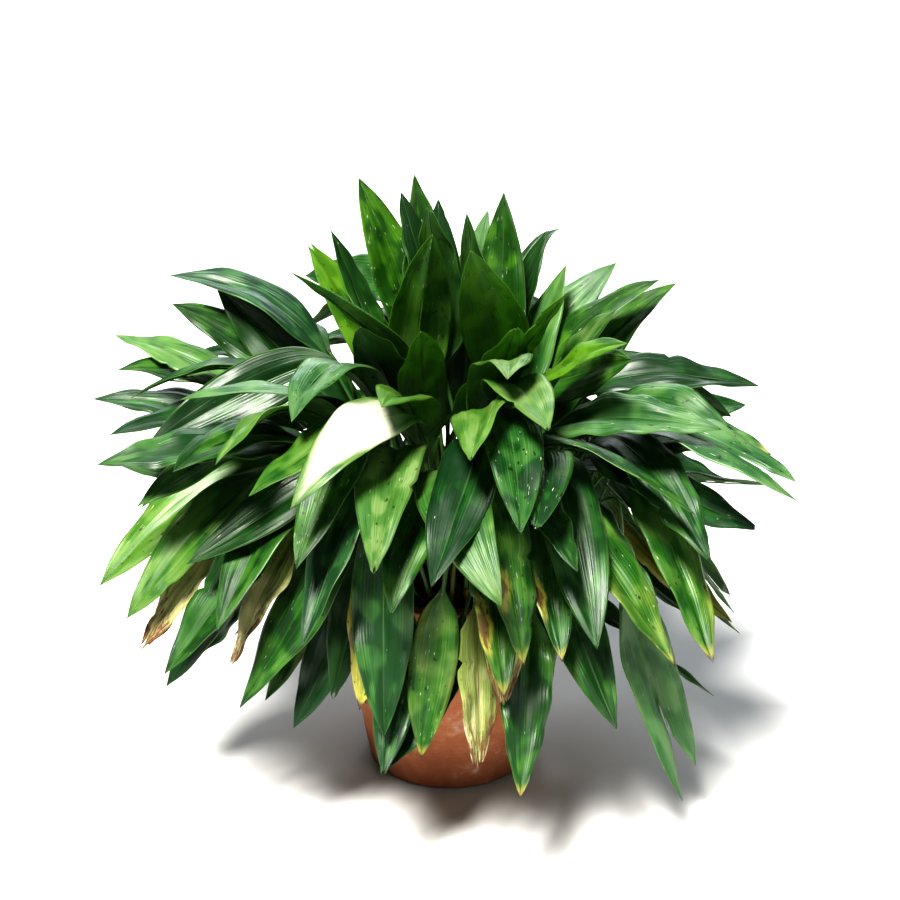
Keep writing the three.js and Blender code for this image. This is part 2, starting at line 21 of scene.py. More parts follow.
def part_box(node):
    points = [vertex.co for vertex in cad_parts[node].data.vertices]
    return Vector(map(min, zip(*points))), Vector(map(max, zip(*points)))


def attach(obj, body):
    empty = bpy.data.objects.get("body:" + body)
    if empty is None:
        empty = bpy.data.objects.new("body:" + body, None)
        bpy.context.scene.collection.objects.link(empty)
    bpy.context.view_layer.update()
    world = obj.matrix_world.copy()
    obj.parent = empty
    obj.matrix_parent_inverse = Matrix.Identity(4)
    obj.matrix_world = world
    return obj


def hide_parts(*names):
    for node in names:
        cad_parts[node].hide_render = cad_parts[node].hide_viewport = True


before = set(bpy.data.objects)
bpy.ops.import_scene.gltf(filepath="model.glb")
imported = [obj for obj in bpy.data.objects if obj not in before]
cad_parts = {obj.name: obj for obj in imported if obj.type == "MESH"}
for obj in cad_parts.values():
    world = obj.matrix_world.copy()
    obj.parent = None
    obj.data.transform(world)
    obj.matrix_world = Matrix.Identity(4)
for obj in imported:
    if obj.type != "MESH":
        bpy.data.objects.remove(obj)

log = logging.getLogger("cast_iron_plant")

Colour = tuple[float, float, float]
Value = Union[float, "Socket"]

GROUND_LEVEL = 0.0
ROOT_LEVEL = 0.314  # the stalks come out of the soil below this height
SAME_POINT = 1e-5  # vertices nearer to each other than this are one
SAME_PROFILE_POINT = 1e-6  # the same on a turned profile
UP = Vector((0.0, 0.0, 1.0))


# ---------------------------------------------------------------- shader bench


class Socket:
    """The output of a shader node, which can be used in arithmetic."""

    def __init__(self, bench: "ShaderBench", link: bpy.types.NodeSocket) -> None:
        """Keeps the bench that the node stands on and its output.

        Args:
            bench: The bench that adds further nodes.
            link: The node's output.
        """
        self.bench = bench
        self.link = link

    def _maths(self, operation: str, first: Value, second: Value = 0.0) -> "Socket":
        """Adds a Math node.

        Args:
            operation: The node's operation.
            first: Its first value.
            second: Its second value.

        Returns:
            The node's result.
        """
        node = self.bench.node("ShaderNodeMath", {"operation": operation}, {0: first, 1: second})
        return node["Value"]

    def __add__(self, other: Value) -> "Socket":
        """Self plus other."""
        return self._maths("ADD", self, other)

    def __radd__(self, other: Value) -> "Socket":
        """Other plus self."""
        return self._maths("ADD", other, self)

    def __sub__(self, other: Value) -> "Socket":
        """Self less other."""
        return self._maths("SUBTRACT", self, other)

    def __rsub__(self, other: Value) -> "Socket":
        """Other less self."""
        return self._maths("SUBTRACT", other, self)

    def __mul__(self, other: Value) -> "Socket":
        """Self times other."""
        return self._maths("MULTIPLY", self, other)

    def __rmul__(self, other: Value) -> "Socket":
        """Other times self."""
        return self._maths("MULTIPLY", other, self)

    def sine(self) -> "Socket":
        """The sine of self, in radians."""
        return self._maths("SINE", self)

    def size(self) -> "Socket":
        """Self without its sign."""
        return self._maths("ABSOLUTE", self)

    def rise(self, low: Value, high: Value) -> "Socket":
        """A soft step of self.

        Args:
            low: Where it starts from 0.
            high: Where it reaches 1.

        Returns:
            A mask from 0 to 1.
        """
        node = self.bench.node(
            "ShaderNodeMapRange",
            {"interpolation_type": "SMOOTHSTEP"},
            {"Value": self, "From Min": low, "From Max": high},
        )
        return node["Result"]


class MadeNode:
    """A node whose outputs are asked for by name."""

    def __init__(self, bench: "ShaderBench", node: bpy.types.Node) -> None:
        """Keeps the bench and the node.

        Args:
            bench: The bench that the node stands on.
            node: The node.
        """
        self.bench = bench
        self.node = node

    def __getitem__(self, output: Union[str, int]) -> Socket:
        """Gives the output of that name or number."""
        return Socket(self.bench, self.node.outputs[output])


class ShaderBench:
    """A material that is being made, and its nodes."""

    def __init__(self, name: str) -> None:
        """Starts an empty material.

        Args:
            name: The material's name.
        """
        self.material = bpy.data.materials.new(name)
        self.material.use_nodes = True
        self.tree = self.material.node_tree
        self.tree.nodes.clear()

    def node(self, kind: str, settings: dict[str, Any], inputs: dict[Any, Any]) -> MadeNode:
        """Adds a node.

        Args:
            kind: The node's type.
            settings: Its properties. "stops" gives a ramp's positions and colours.
            inputs: Values or sockets by the name or number of its inputs.

        Returns:
            The node.
        """
        node = self.tree.nodes.new(kind)
        for key, value in settings.items():
            if key == "stops":
                self._stops(node.color_ramp, value)
            else:
                setattr(node, key, value)
        for key, value in inputs.items():
            if isinstance(value, Socket):
                self.tree.links.new(value.link, node.inputs[key])
            elif isinstance(value, tuple) and len(value) == 3 and node.inputs[key].type == "RGBA":
                node.inputs[key].default_value = (*value, 1.0)
            else:
                node.inputs[key].default_value = value
        return MadeNode(self, node)

    @staticmethod
    def _stops(ramp: bpy.types.ColorRamp, stops: Sequence[tuple[float, Colour]]) -> None:
        """Sets a ramp's stops.

        Args:
            ramp: The ramp.
            stops: Positions and colours, in rising order.
        """
        while len(ramp.elements) < len(stops):
            ramp.elements.new(1.0)
        for element, (position, colour) in zip(ramp.elements, stops):
            element.position = position
            element.color = (*colour, 1.0)

    def attribute(self, name: str) -> tuple[Socket, Socket, Socket]:
        """The three numbers of a mesh attribute.

        Args:
            name: The attribute's name.

        Returns:
            Its X, Y and Z.
        """
        read = self.node("ShaderNodeAttribute", {"attribute_name": name}, {})
        parts = self.node("ShaderNodeSeparateXYZ", {}, {"Vector": read["Vector"]})
        return parts["X"], parts["Y"], parts["Z"]

    def place(self) -> tuple[Socket, Socket, Socket]:
        """Reads the place of a point on the object.

        Returns:
            Its X, Y and Z in metres.
        """
        read = self.node("ShaderNodeTexCoord", {}, {})
        parts = self.node("ShaderNodeSeparateXYZ", {}, {"Vector": read["Object"]})
        return parts["X"], parts["Y"], parts["Z"]

    def grain(self, x: Value, y: Value, z: Value, detail: float = 2.0, harsh: float = 0.5) -> Socket:
        """Noise over three values, one bump to each unit.

        Args:
            x: First value.
            y: Second value.
            z: Third value.
            detail: Octaves of finer noise.
            harsh: How strong each finer octave is.

        Returns:
            Noise about 0.5.
        """
        at = self.node("ShaderNodeCombineXYZ", {}, {"X": x, "Y": y, "Z": z})
        inputs = {"Vector": at["Vector"], "Scale": 1.0, "Detail": detail, "Roughness": harsh}
        return self.node("ShaderNodeTexNoise", {}, inputs)["Fac"]

    def blend(self, share: Value, first: Any, second: Any) -> Socket:
        """Mixes two colours.

        Args:
            share: How much of the second colour shows.
            first: A colour or a socket.
            second: A colour or a socket.

        Returns:
            The mixed colour.
        """
        settings = {"data_type": "RGBA", "clamp_factor": True}
        return self.node("ShaderNodeMix", settings, {0: share, 6: first, 7: second})[2]

    def bump(self, height: Socket, depth: float, strength: float) -> Socket:
        """Turns a height into a normal.

        Args:
            height: The height, from 0 to 1.
            depth: What a height of 1 stands for, in metres.
            strength: How much of it shows.

        Returns:
            The normal.
        """
        inputs = {"Height": height, "Distance": depth, "Strength": strength}
        return self.node("ShaderNodeBump", {}, inputs)["Normal"]

    def finish(self, glow: Optional[tuple[Value, Colour]] = None, **sockets: Any) -> bpy.types.Material:
        """Ends the material with its surface shader.

        Args:
            glow: How much light comes through a thin piece, and its colour.
            **sockets: Values of the shader's inputs, with _ for a space.

        Returns:
            The material.
        """
        inputs = {key.replace("_", " "): value for key, value in sockets.items()}
        surface = self.node("ShaderNodeBsdfPrincipled", {}, inputs)["BSDF"]
        if glow:
            lit = self.node("ShaderNodeBsdfTranslucent", {}, {"Color": glow[1]})["BSDF"]
            surface = self.node("ShaderNodeMixShader", {}, {0: glow[0], 1: surface, 2: lit})["Shader"]
        self.node("ShaderNodeOutputMaterial", {}, {"Surface": surface})
        return self.material


# ------------------------------------------------------------------- finishes


@dataclass(frozen=True)
class BladePattern:
    """Where a point lies on its blade, as leaves and dried leaves carry it in their attributes."""

    bench: ShaderBench
    across: Socket  # metres from the rib, negative on the left
    along: Socket  # metres from the blade's base
    seed: Socket
    edge: Socket  # 0 at the rib and 1 at the margin
    reach: Socket  # 0 at the blade's base and 1 at its tip
    under: Socket  # 1 on the underside

    @staticmethod
    def read(bench: ShaderBench) -> "BladePattern":
        """Reads the attributes.

        Args:
            bench: The material that is being made.

        Returns:
            The pattern.
        """
        return BladePattern(bench, *bench.attribute("blade_place"), *bench.attribute("blade_form"))

    def grain(
        self, wide: float, long: float, shift: float, detail: float = 2.0, harsh: float = 0.5
    ) -> Socket:
        """Noise that each leaf has in its own way.

        Args:
            wide: Its bumps to a metre across the blade.
            long: Its bumps to a metre along the blade.
            shift: What keeps it apart from the other noises.
            detail: Octaves of finer noise.
            harsh: How strong each finer octave is.

        Returns:
            Noise about 0.5.
        """
        return self.bench.grain(self.across * wide, self.along * long, self.seed + shift, detail, harsh)

    def lines(self, turn: float, wander: Value = 0.0) -> Socket:
        """Fine lines along the blade.

        Args:
            turn: How many radians of them there are to a metre.
            wander: How far they stray, in radians.

        Returns:
            A wave from 0 to 1.
        """
        return (self.across * turn + wander).sine() * 0.5 + 0.5

    def rib(self, fade: tuple[float, float]) -> Socket:
        """The rib as a mask, which fades out between two distances from its middle."""
        return 1.0 - self.across.size().rise(*fade)


@dataclass(frozen=True)
class LeafFinish:
    """Leathery leaf: lengthwise ribs and streaks, the marks of age, and painted light: dappled sun and shade,
    a bluish sky reflection, a glow of light coming through, and sun glare on a whitened leaf.
    """

    name: str = "leaf_green"
    deep: Colour = (0.0040, 0.028, 0.0055)
    green: Colour = (0.014, 0.092, 0.009)
    fresh: Colour = (0.070, 0.162, 0.032)
    pale: Colour = (0.215, 0.300, 0.115)
    underside: Colour = (0.060, 0.160, 0.040)
    yellow: Colour = (0.420, 0.385, 0.080)
    brown: Colour = (0.120, 0.060, 0.025)
    dark: Colour = (0.016, 0.012, 0.006)  # of specks and holes
    margin: Colour = (0.130, 0.260, 0.040)
    # near-white of pale scars and of a leaf's whitened middle, which is partly sun bleaching and partly
    # painted sun glare
    white_and_glare: Colour = (0.680, 0.680, 0.560)
    # bluish greens: the leaf's own blue, and a painted bluish sky reflection that is paler on lighter leaves
    cool: Colour = (0.006, 0.045, 0.017)
    blue_and_sky_reflection_pale: Colour = (0.085, 0.205, 0.108)
    # yellow greens: the leaf's own yellow, and a painted glow of light coming through that is brighter on
    # lighter leaves
    warm: Colour = (0.018, 0.085, 0.003)
    yellow_and_backlit_glow_pale: Colour = (0.160, 0.350, 0.012)
    glow: Colour = (0.300, 0.600, 0.035)  # of the light that comes through the blade
    gloss: float = 0.40
    rib_turn: float = 1309.0  # radians to a metre: ribs 4.8 mm apart
    vein_turn: float = 3927.0  # radians to a metre: veins 1.6 mm apart
    rib_fade: tuple[float, float] = (0.0004, 0.0016)  # how far from its middle the rib's colour fades
    mark_place: float = 0.66  # where a brown patch lies, as a share of the blade
    relief_depth: float = 0.0009

    def material(self) -> bpy.types.Material:
        """Makes the finish.

        Returns:
            The material.
        """
        b = ShaderBench(self.name)
        blade = BladePattern.read(b)
        age, tone, scorch = b.attribute("blade_mood")
        bleach, spots, blotch = b.attribute("blade_marks")
        cool, warm, _ = b.attribute("blade_cast")

        streaks = blade.grain(560.0, 8.0, 0.0, 3.0, 0.6)
        bands = blade.grain(90.0, 5.0, 7.0)
        cloud = blade.grain(18.0, 13.0, 3.0, 3.0)
        # painted dappled light: small patches of sunlight and shade laid into the colour
        painted_dapple_light = blade.grain(34.0, 24.0, 17.0, 1.0)
        ragged = blade.grain(240.0, 60.0, 11.0, 3.0, 0.65)
        ribs = blade.lines(self.rib_turn, cloud * 2.0 + bands * 3.0)
        ribbed = bands.rise(0.40, 0.62)

        # The leaf's lightness, with painted light in it. The cloud noise is partly the leaf's own mottling
        # and partly painted patches of sun and shade. The dappled noise on the next line is wholly painted
        # sun and shade.
        shade = tone + (streaks - 0.5) * 0.50 + (bands - 0.5) * 0.5 + (cloud - 0.5) * 1.3 - 0.19
        shade = shade + (ribs - 0.5) * ribbed * 0.24 + (painted_dapple_light.rise(0.40, 0.62) - 0.5) * 0.5
        colour = self._greens(blade, shade, cool, warm)
        colour = self._bleach_and_glare(blade, colour, bleach, cloud)

        turning = age * 1.5 + blade.edge * age * 0.7 + blade.reach * age * 0.5
        turning = turning + (cloud - 0.5) * 1.0 + (streaks - 0.5) * 0.5
        dead = turning + (ragged - 0.5) * 0.7
        colour = b.blend(turning.rise(0.70, 1.35), colour, self.yellow)
        colour = b.blend(dead.rise(1.65, 1.95), colour, self.brown)
        colour = self._patch(blade, colour, blotch, (cloud - 0.5) * 1.3 + (ragged - 0.5) * 0.5)

        front = blade.reach + (ragged - 0.5) * 0.07 + blade.edge * 0.02
        start = 1.0 - scorch * 0.12
        scorched = scorch.rise(0.03, 0.12)
        colour = b.blend(front.rise(start - 0.06, start) * scorched * 0.6, colour, self.yellow)
        burnt = front.rise(start, start + 0.02) * scorched
        colour = b.blend(burnt, colour, self.brown)
        hem = (blade.edge + (ragged - 0.5) * 0.04).rise(0.960, 0.995) * 0.6
        colour = b.blend(hem, colour, b.blend(scorch.rise(0.1, 0.4), self.margin, self.brown))
        colour = self._specks(blade, colour, spots)

        sheen = blade.grain(50.0, 50.0, 31.0, 3.0, 0.6)
        dull = burnt * 0.3 + blade.under * 0.14 + turning.rise(0.8, 1.6) * 0.12
        veins = blade.lines(self.vein_turn)
        relief = ribs * (ribbed * 0.28 + 0.12) + veins * 0.10 + streaks * 0.20 + ragged * 0.10
        through = (0.05 + warm * 0.12 + shade.rise(0.1, 1.3) * 0.18) * (1.0 - dead.rise(1.2, 1.9))
        return b.finish(
            Base_Color=colour,
            Roughness=self.gloss + (sheen - 0.5) * 0.24 + (streaks - 0.5) * 0.06 + dull,
            Normal=b.bump(relief, self.relief_depth, 0.7),
            Specular_IOR_Level=0.6,
            glow=(through, self.glow),
        )

    def _greens(self, blade: BladePattern, shade: Socket, cool: Socket, warm: Socket) -> Socket:
        """Lays the greens from deep to pale, and lightens the rib, the base and the underside.

        Args:
            blade: The place on the blade.
            shade: How light it is there, about 0 to 1.5.
            cool: How blue the leaf is: partly its own blue and partly a painted bluish sky reflection.
            warm: How yellow the leaf is: partly its own yellow and partly a painted glow of light coming
                through.

        Returns:
            The colour.
        """
        b = blade.bench
        colour = b.blend(shade.rise(0.0, 0.5), self.deep, self.green)
        colour = b.blend(shade.rise(0.35, 1.0), colour, self.fresh)
        colour = b.blend(shade.rise(0.85, 1.5), colour, self.pale)
        light = shade.rise(0.1, 1.2)
        # the leaf's own blue and a painted bluish sky reflection
        colour = b.blend(cool * 0.55, colour, b.blend(light, self.cool, self.blue_and_sky_reflection_pale))
        # the leaf's own yellow and a painted glow of light coming through
        colour = b.blend(warm * 0.7, colour, b.blend(light, self.warm, self.yellow_and_backlit_glow_pale))
        colour = b.blend((1.0 - blade.reach.rise(0.0, 0.22)) * 0.3, colour, self.fresh)
        colour = b.blend(blade.rib(self.rib_fade) * 0.35, colour, self.fresh)
        return b.blend(blade.under * 0.5, colour, self.underside)

    def _bleach_and_glare(self, blade: BladePattern, colour: Socket, bleach: Socket, cloud: Socket) -> Socket:
        """Whitens the middle of a leaf: partly sun bleaching and partly painted sun glare.

        Args:
            blade: The place on the blade.
            colour: The colour so far.
            bleach: How far the leaf is whitened, by sun bleaching and painted sun glare.
            cloud: What makes the white's outline uneven.

        Returns:
            The colour.
        """
        away = (blade.reach - 0.54).size() * 2.4
        faded = bleach * 2.6 - blade.edge * blade.edge * 0.8 + (cloud - 0.5) * 0.8 - away
        return blade.bench.blend(faded.rise(0.35, 0.9) * bleach.rise(0.0, 0.2), colour, self.white_and_glare)

    def _patch(self, blade: BladePattern, colour: Socket, blotch: Socket, uneven: Socket) -> Socket:
        """Lays a brown patch with a yellow hem on the right half.

        Args:
            blade: The place on the blade.
            colour: The colour so far.
            blotch: How large the leaf's patch is.
            uneven: What makes its outline uneven.

        Returns:
            The colour.
        """
        away = (blade.reach - self.mark_place).size() * 3.4 + (blade.across * 24.0 - 0.75).size() * 0.9
        patch = blotch * 1.1 - away + uneven
        colour = blade.bench.blend(patch.rise(0.20, 0.50) * 0.8, colour, self.yellow)
        return blade.bench.blend(patch.rise(0.50, 0.62) * 0.85, colour, self.brown)

    def _specks(self, blade: BladePattern, colour: Socket, spots: Socket) -> Socket:
        """Scatters dark specks and short pale scars.

        Args:
            blade: The place on the blade.
            colour: The colour so far.
            spots: How many of them the leaf has.

        Returns:
            The colour.
        """
        specks = blade.grain(130.0, 100.0, 23.0, 1.0).rise(0.77 - spots * 0.10, 0.785 - spots * 0.10)
        colour = blade.bench.blend(specks * 0.9, colour, self.dark)
        scars = blade.grain(420.0, 70.0, 41.0, 1.0).rise(0.79 - spots * 0.075, 0.81 - spots * 0.075)
        return blade.bench.blend(scars * 0.6, colour, self.white_and_glare)


@dataclass(frozen=True)
class StrawFinish:
    """Leaf that has died and dried: straw with brown weather marks and some green left."""

    name: str = "leaf_straw"
    straw: Colour = (0.430, 0.395, 0.175)
    pale: Colour = (0.640, 0.600, 0.350)
    olive: Colour = (0.205, 0.265, 0.070)
    brown: Colour = (0.170, 0.090, 0.040)
    dark: Colour = (0.045, 0.028, 0.016)
    fibre_turn: float = 2650.0  # radians to a metre: fibres 2.4 mm apart
    rib_fade: tuple[float, float] = (0.0006, 0.0021)  # how far from its middle the rib's brown fades
    relief_depth: float = 0.0011

    def material(self) -> bpy.types.Material:
        """Makes the finish.

        Returns:
            The material.
        """
        b = ShaderBench(self.name)
        blade = BladePattern.read(b)
        age, tone, _ = b.attribute("blade_mood")
        streaks = blade.grain(520.0, 10.0, 0.0, 4.0, 0.65)
        cloud = blade.grain(34.0, 13.0, 5.0, 3.0, 0.6)
        ragged = blade.grain(260.0, 70.0, 9.0, 4.0, 0.65)
        shade = tone + (streaks - 0.5) * 0.9 + (cloud - 0.5) * 0.8
        colour = b.blend(shade.rise(0.1, 0.9), self.straw, self.pale)
        living = (1.0 - age) * 1.35 + (cloud - 0.5) * 1.4 + (streaks - 0.5) * 0.6 - blade.reach * 0.5
        colour = b.blend(living.rise(0.05, 0.6), colour, self.olive)
        worn = (ragged - 0.5) * 1.6 + blade.edge * 0.32 + blade.reach * blade.reach * 0.60
        weathered = worn + (cloud - 0.5) * 1.3
        colour = b.blend(weathered.rise(0.46, 0.84), colour, self.brown)
        colour = b.blend(weathered.rise(0.95, 1.25), colour, self.dark)
        colour = b.blend(blade.rib(self.rib_fade) * 0.4, colour, self.brown)
        colour = b.blend(blade.under * 0.2, colour, self.straw)
        relief = blade.lines(self.fibre_turn, cloud * 5.0) * 0.5 + streaks * 0.7 + ragged * 0.6
        return b.finish(
            Base_Color=colour,
            Roughness=0.62 + (streaks - 0.5) * 0.3,
            Normal=b.bump(relief, self.relief_depth, 0.75),
            Specular_IOR_Level=0.3,
        )


@dataclass(frozen=True)
class TerracottaFinish:
    """Unglazed fired clay with lime bloom, a darker foot and turning marks."""

    name: str = "terracotta"
    clay: Colour = (0.430, 0.150, 0.066)
    light: Colour = (0.560, 0.235, 0.120)
    dark: Colour = (0.230, 0.080, 0.040)
    lime: Colour = (0.660, 0.560, 0.480)
    moss: Colour = (0.085, 0.090, 0.040)

    def material(self) -> bpy.types.Material:
        """Makes the finish.

        Returns:
            The material.
        """
        b = ShaderBench(self.name)
        x, y, z = b.place()
        cloud = b.grain(x * 11.0, y * 11.0, z * 11.0, 4.0, 0.6)
        mottle = b.grain(x * 60.0 + 4.0, y * 60.0, z * 60.0, 4.0, 0.6)
        fine = b.grain(x * 900.0, y * 900.0, z * 900.0, 3.0, 0.7)
        rings = b.grain(x * 2.0, y * 2.0, z * 420.0, 3.0, 0.6)
        colour = b.blend((cloud * 0.6 + mottle * 0.4).rise(0.36, 0.64), self.clay, self.light)
        colour = b.blend(rings.rise(0.5, 0.72) * 0.22, colour, self.dark)
        # darker towards the foot
        darker_foot = (1.0 - (z + (cloud - 0.5) * 0.16).rise(0.015, 0.13)) * 0.55
        colour = b.blend(darker_foot, colour, self.dark)
        bloom = cloud * 0.9 + mottle * 0.55 + z.rise(0.26, 0.34) * 0.12
        colour = b.blend(bloom.rise(0.80, 1.02) * 0.6, colour, self.lime)
        green = b.grain(x * 17.0 + 9.0, y * 17.0, z * 23.0, 4.0, 0.65)
        mossy = green.rise(0.60, 0.74) * 0.4 * (1.0 - z.rise(0.05, 0.25))
        colour = b.blend(mossy, colour, self.moss)
        colour = b.blend((fine - 0.5) * 0.3, colour, self.dark)
        relief = rings * 0.8 + fine * 0.35 + mottle * 0.5
        return b.finish(
            Base_Color=colour,
            Roughness=0.78 + (mottle - 0.5) * 0.25,
            Normal=b.bump(relief, 0.0009, 0.6),
            Specular_IOR_Level=0.3,
        )


@dataclass(frozen=True)
class SoilFinish:
    """Dark crumbly potting soil."""

    name: str = "potting_soil"
    dark: Colour = (0.012, 0.008, 0.005)
    earth: Colour = (0.048, 0.030, 0.018)
    fibre: Colour = (0.140, 0.090, 0.050)

    def material(self) -> bpy.types.Material:
        """Makes the finish.

        Returns:
            The material.
        """
        b = ShaderBench(self.name)
        x, y, z = b.place()
        crumbs = b.grain(x * 160.0, y * 160.0, z * 160.0, 4.0, 0.7)
        fibres = b.grain(x * 420.0, y * 70.0, z * 100.0, 3.0, 0.6)
        colour = b.blend(crumbs.rise(0.36, 0.66), self.dark, self.earth)
        colour = b.blend(fibres.rise(0.62, 0.72) * 0.7, colour, self.fibre)
        return b.finish(
            Base_Color=colour,
            Roughness=0.95,
            Normal=b.bump(crumbs + fibres * 0.5, 0.003, 0.9),
            Specular_IOR_Level=0.2,
        )


@dataclass(frozen=True)
class SheathFinish:
    """Papery brown sheath, streaked along the stalk."""

    name: str = "sheath_brown"
    brown: Colour = (0.150, 0.085, 0.045)
    pale: Colour = (0.360, 0.250, 0.130)

    def material(self) -> bpy.types.Material:
        """Makes the finish.

        Returns:
            The material.
        """
        b = ShaderBench(self.name)
        x, y, z = b.place()
        fibres = b.grain(x * 900.0, y * 900.0, z * 40.0, 3.0, 0.6)
        worn = b.grain(x * 120.0, y * 120.0, z * 90.0, 3.0)
        colour = b.blend((fibres * 0.6 + worn * 0.4).rise(0.38, 0.66), self.brown, self.pale)
        return b.finish(
            Base_Color=colour,
            Roughness=0.75 + (worn - 0.5) * 0.2,
            Normal=b.bump(fibres, 0.0006, 0.6),
            Specular_IOR_Level=0.3,
        )


@dataclass(frozen=True)
class FloorFinish:
    """Plain pale floor."""

    name: str = "studio_floor"
    pale: Colour = (0.60, 0.60, 0.60)

    def material(self) -> bpy.types.Material:
        """Makes the finish.

        Returns:
            The material.
        """
        b = ShaderBench(self.name)
        return b.finish(Base_Color=self.pale, Roughness=0.9, Specular_IOR_Level=0.2)


# ------------------------------------------------------- reading leaf solids


@dataclass
class Ring:
    """One section of a leaf: its two margins and the two sides of its rib, in metres."""

    left: Vector
    top: Vector
    right: Vector
    bottom: Vector

    @property
    def centre(self) -> Vector:
        """The middle of the rib."""
        return (self.top + self.bottom) / 2.0

    @property
    def thickness(self) -> float:
        """The rib's thickness."""
        return (self.top - self.bottom).length


@dataclass
class LeafCourse:
    """A leaf's rings from the soil to its end. A torn leaf has no tip, and its last ring holds two points."""

    rings: list[Ring]
    tip: Optional[Vector]

    @property
    def end(self) -> Vector:
        """The leaf's furthest point."""
        last = self.rings[-1]
        return self.tip if self.tip else (last.left + last.right) / 2.0


class LeafReader:
    """Reads the leaves off the solid of one shoot."""

    TEAR_EDGE = 0.0025  # the rib's thickness where a tear ends is an edge shorter than this
    LEAST_RINGS = 6
    LEVEL_WITHIN = 0.0015  # how far a root ring's corners may lie from the level of the roots
    STALK_RINGS = 3  # the rings below the blade, which don't tell its top from its underside

    def __init__(self, node: bpy.types.Object) -> None:
        """Merges a copy of the node's loose triangles.

        Args:
            node: The CAD node of a shoot or a dry leaf.
        """
        self.bm = bmesh.new()
        self.bm.from_mesh(node.data)
        bmesh.ops.remove_doubles(self.bm, verts=self.bm.verts, dist=SAME_POINT)
        self.near = {v: {e.other_vert(v) for e in v.link_edges} for v in self.bm.verts}

    def leaves(self) -> list[LeafCourse]:
        """Walks down every leaf of the shoot.

        Returns:
            The leaves, in a fixed order.
        """
        found = [self._walk(start, tip) for start, tip in self._ends()]
        courses = [course for course in found if course]
        self.bm.free()
        return sorted(courses, key=lambda c: tuple(round(a, 4) for a in c.rings[0].centre))

    def _ends(self) -> Iterable[tuple[set[BMVert], Optional[BMVert]]]:
        """Finds where leaves end: at a tip, or at the bottom of a tear.

        Returns:
            The last ring of each leaf, with its tip if it has one.
        """
        for vert, ring in self.near.items():
            if len(ring) == 4 and self._is_cycle(ring):
                yield set(ring), vert
        for edge in self.bm.edges:
            first, second = edge.verts
            points = {v for v in self.near[first] & self.near[second] if len(self.near[v]) == 3}
            if edge.calc_length() < self.TEAR_EDGE and len(points) == 2:
                yield {first, second, *points}, None

    def _is_cycle(self, ring: set[BMVert]) -> bool:
        """Whether each vertex of a ring touches just two others of it."""
        return all(len(self.near[v] & ring) == 2 for v in ring)

    def _walk(self, start: set[BMVert], tip: Optional[BMVert]) -> Optional[LeafCourse]:
        """Steps from a leaf's end to its root.

        Args:
            start: The last ring.
            tip: The vertex past it.

        Returns:
            The leaf, or None if the start wasn't the end of one.
        """
        hops = [start]
        seen = set(start) | ({tip} if tip else set())
        while True:
            step = set().union(*(self.near[v] for v in hops[-1])) - seen
            if len(step) != 4 or not self._is_cycle(step):
                break
            hops.append(step)
            seen |= step
            if self._is_root(step):
                break
        if len(hops) < self.LEAST_RINGS:
            return None
        return self._label(hops, tip)

    def _is_root(self, ring: set[BMVert]) -> bool:
        """Whether a ring lies flat at the height where stalks leave the soil."""
        return all(abs(v.co.z - ROOT_LEVEL) < self.LEVEL_WITHIN for v in ring)

    def _label(self, hops: list[set[BMVert]], tip: Optional[BMVert]) -> LeafCourse:
        """Tells margins from rib, top from underside and left from right.

        Args:
            hops: Rings from the end to the root.
            tip: The vertex past the first.

        Returns:
            The leaf from root to end.
        """
        anchor = len(hops) // 2
        pairs = self._opposite(hops[anchor])
        rib = min(pairs, key=lambda p: (p[0].co - p[1].co).length)
        margin = next(p for p in pairs if p is not rib)
        names = dict(zip((*rib, *margin), ("top", "bottom", "left", "right")))
        for order in (range(anchor + 1, len(hops)), range(anchor - 1, -1, -1)):
            for i in order:
                self._carry(hops[i], names, toward_end=i < anchor)
        rings = [Ring(**{names[v]: v.co.copy() for v in ring}) for ring in reversed(hops)]
        end = tip.co.copy() if tip else None
        return self._orient(rings, end)

    def _carry(self, ring: set[BMVert], names: dict[BMVert, str], toward_end: bool) -> None:
        """Carries the labels on to the next ring.

        Towards the end, a margin touches only its own margin of the ring before, and its rib touches both
        margins. Towards the root it is the other way round. Each vertex is matched by what it must touch.

        Args:
            ring: The ring to label.
            names: The labels so far, added to.
            toward_end: Whether the labelled ring is nearer to the root.
        """
        for vert in ring:
            touched = {names[v] for v in self.near[vert] if v in names and v not in ring}
            if toward_end:
                rib = touched & {"top", "bottom"}
                names[vert] = rib.pop() if rib else touched.pop()
            else:
                margins = touched & {"left", "right"}
                names[vert] = margins.pop() if margins else touched.pop()

    def _opposite(self, ring: set[BMVert]) -> list[tuple[BMVert, BMVert]]:
        """Pairs the vertices of a ring that face each other.

        Args:
            ring: The ring.

        Returns:
            Its two pairs.
        """
        verts = list(ring)
        first = verts[0]
        facing = next(v for v in verts[1:] if v not in self.near[first])
        others = tuple(v for v in verts if v not in (first, facing))
        return [(first, facing), others]

    def _orient(self, rings: list[Ring], tip: Optional[Vector]) -> LeafCourse:
        """Swaps labels until the blade folds up from the rib and left is on the left.

        Args:
            rings: The rings from root to end.
            tip: The leaf's tip, if it has one.

        Returns:
            The leaf.
        """
        lift = 0.0
        hand = 0.0
        blade = rings[self.STALK_RINGS :]
        for before, ring in zip(blade, blade[1:]):
            normal = ring.top - ring.bottom
            across = ring.right - ring.left
            along = ring.centre - before.centre
            lift += ((ring.left + ring.right) / 2.0 - ring.centre).dot(normal)
            hand += along.cross(normal).dot(across) * (1.0 if lift >= 0 else -1.0)
        for ring in rings:
            if lift < 0:
                ring.top, ring.bottom = ring.bottom, ring.top
            if hand < 0:
                ring.left, ring.right = ring.right, ring.left
        return LeafCourse(rings, tip)


# ------------------------------------------------------------- growing leaves


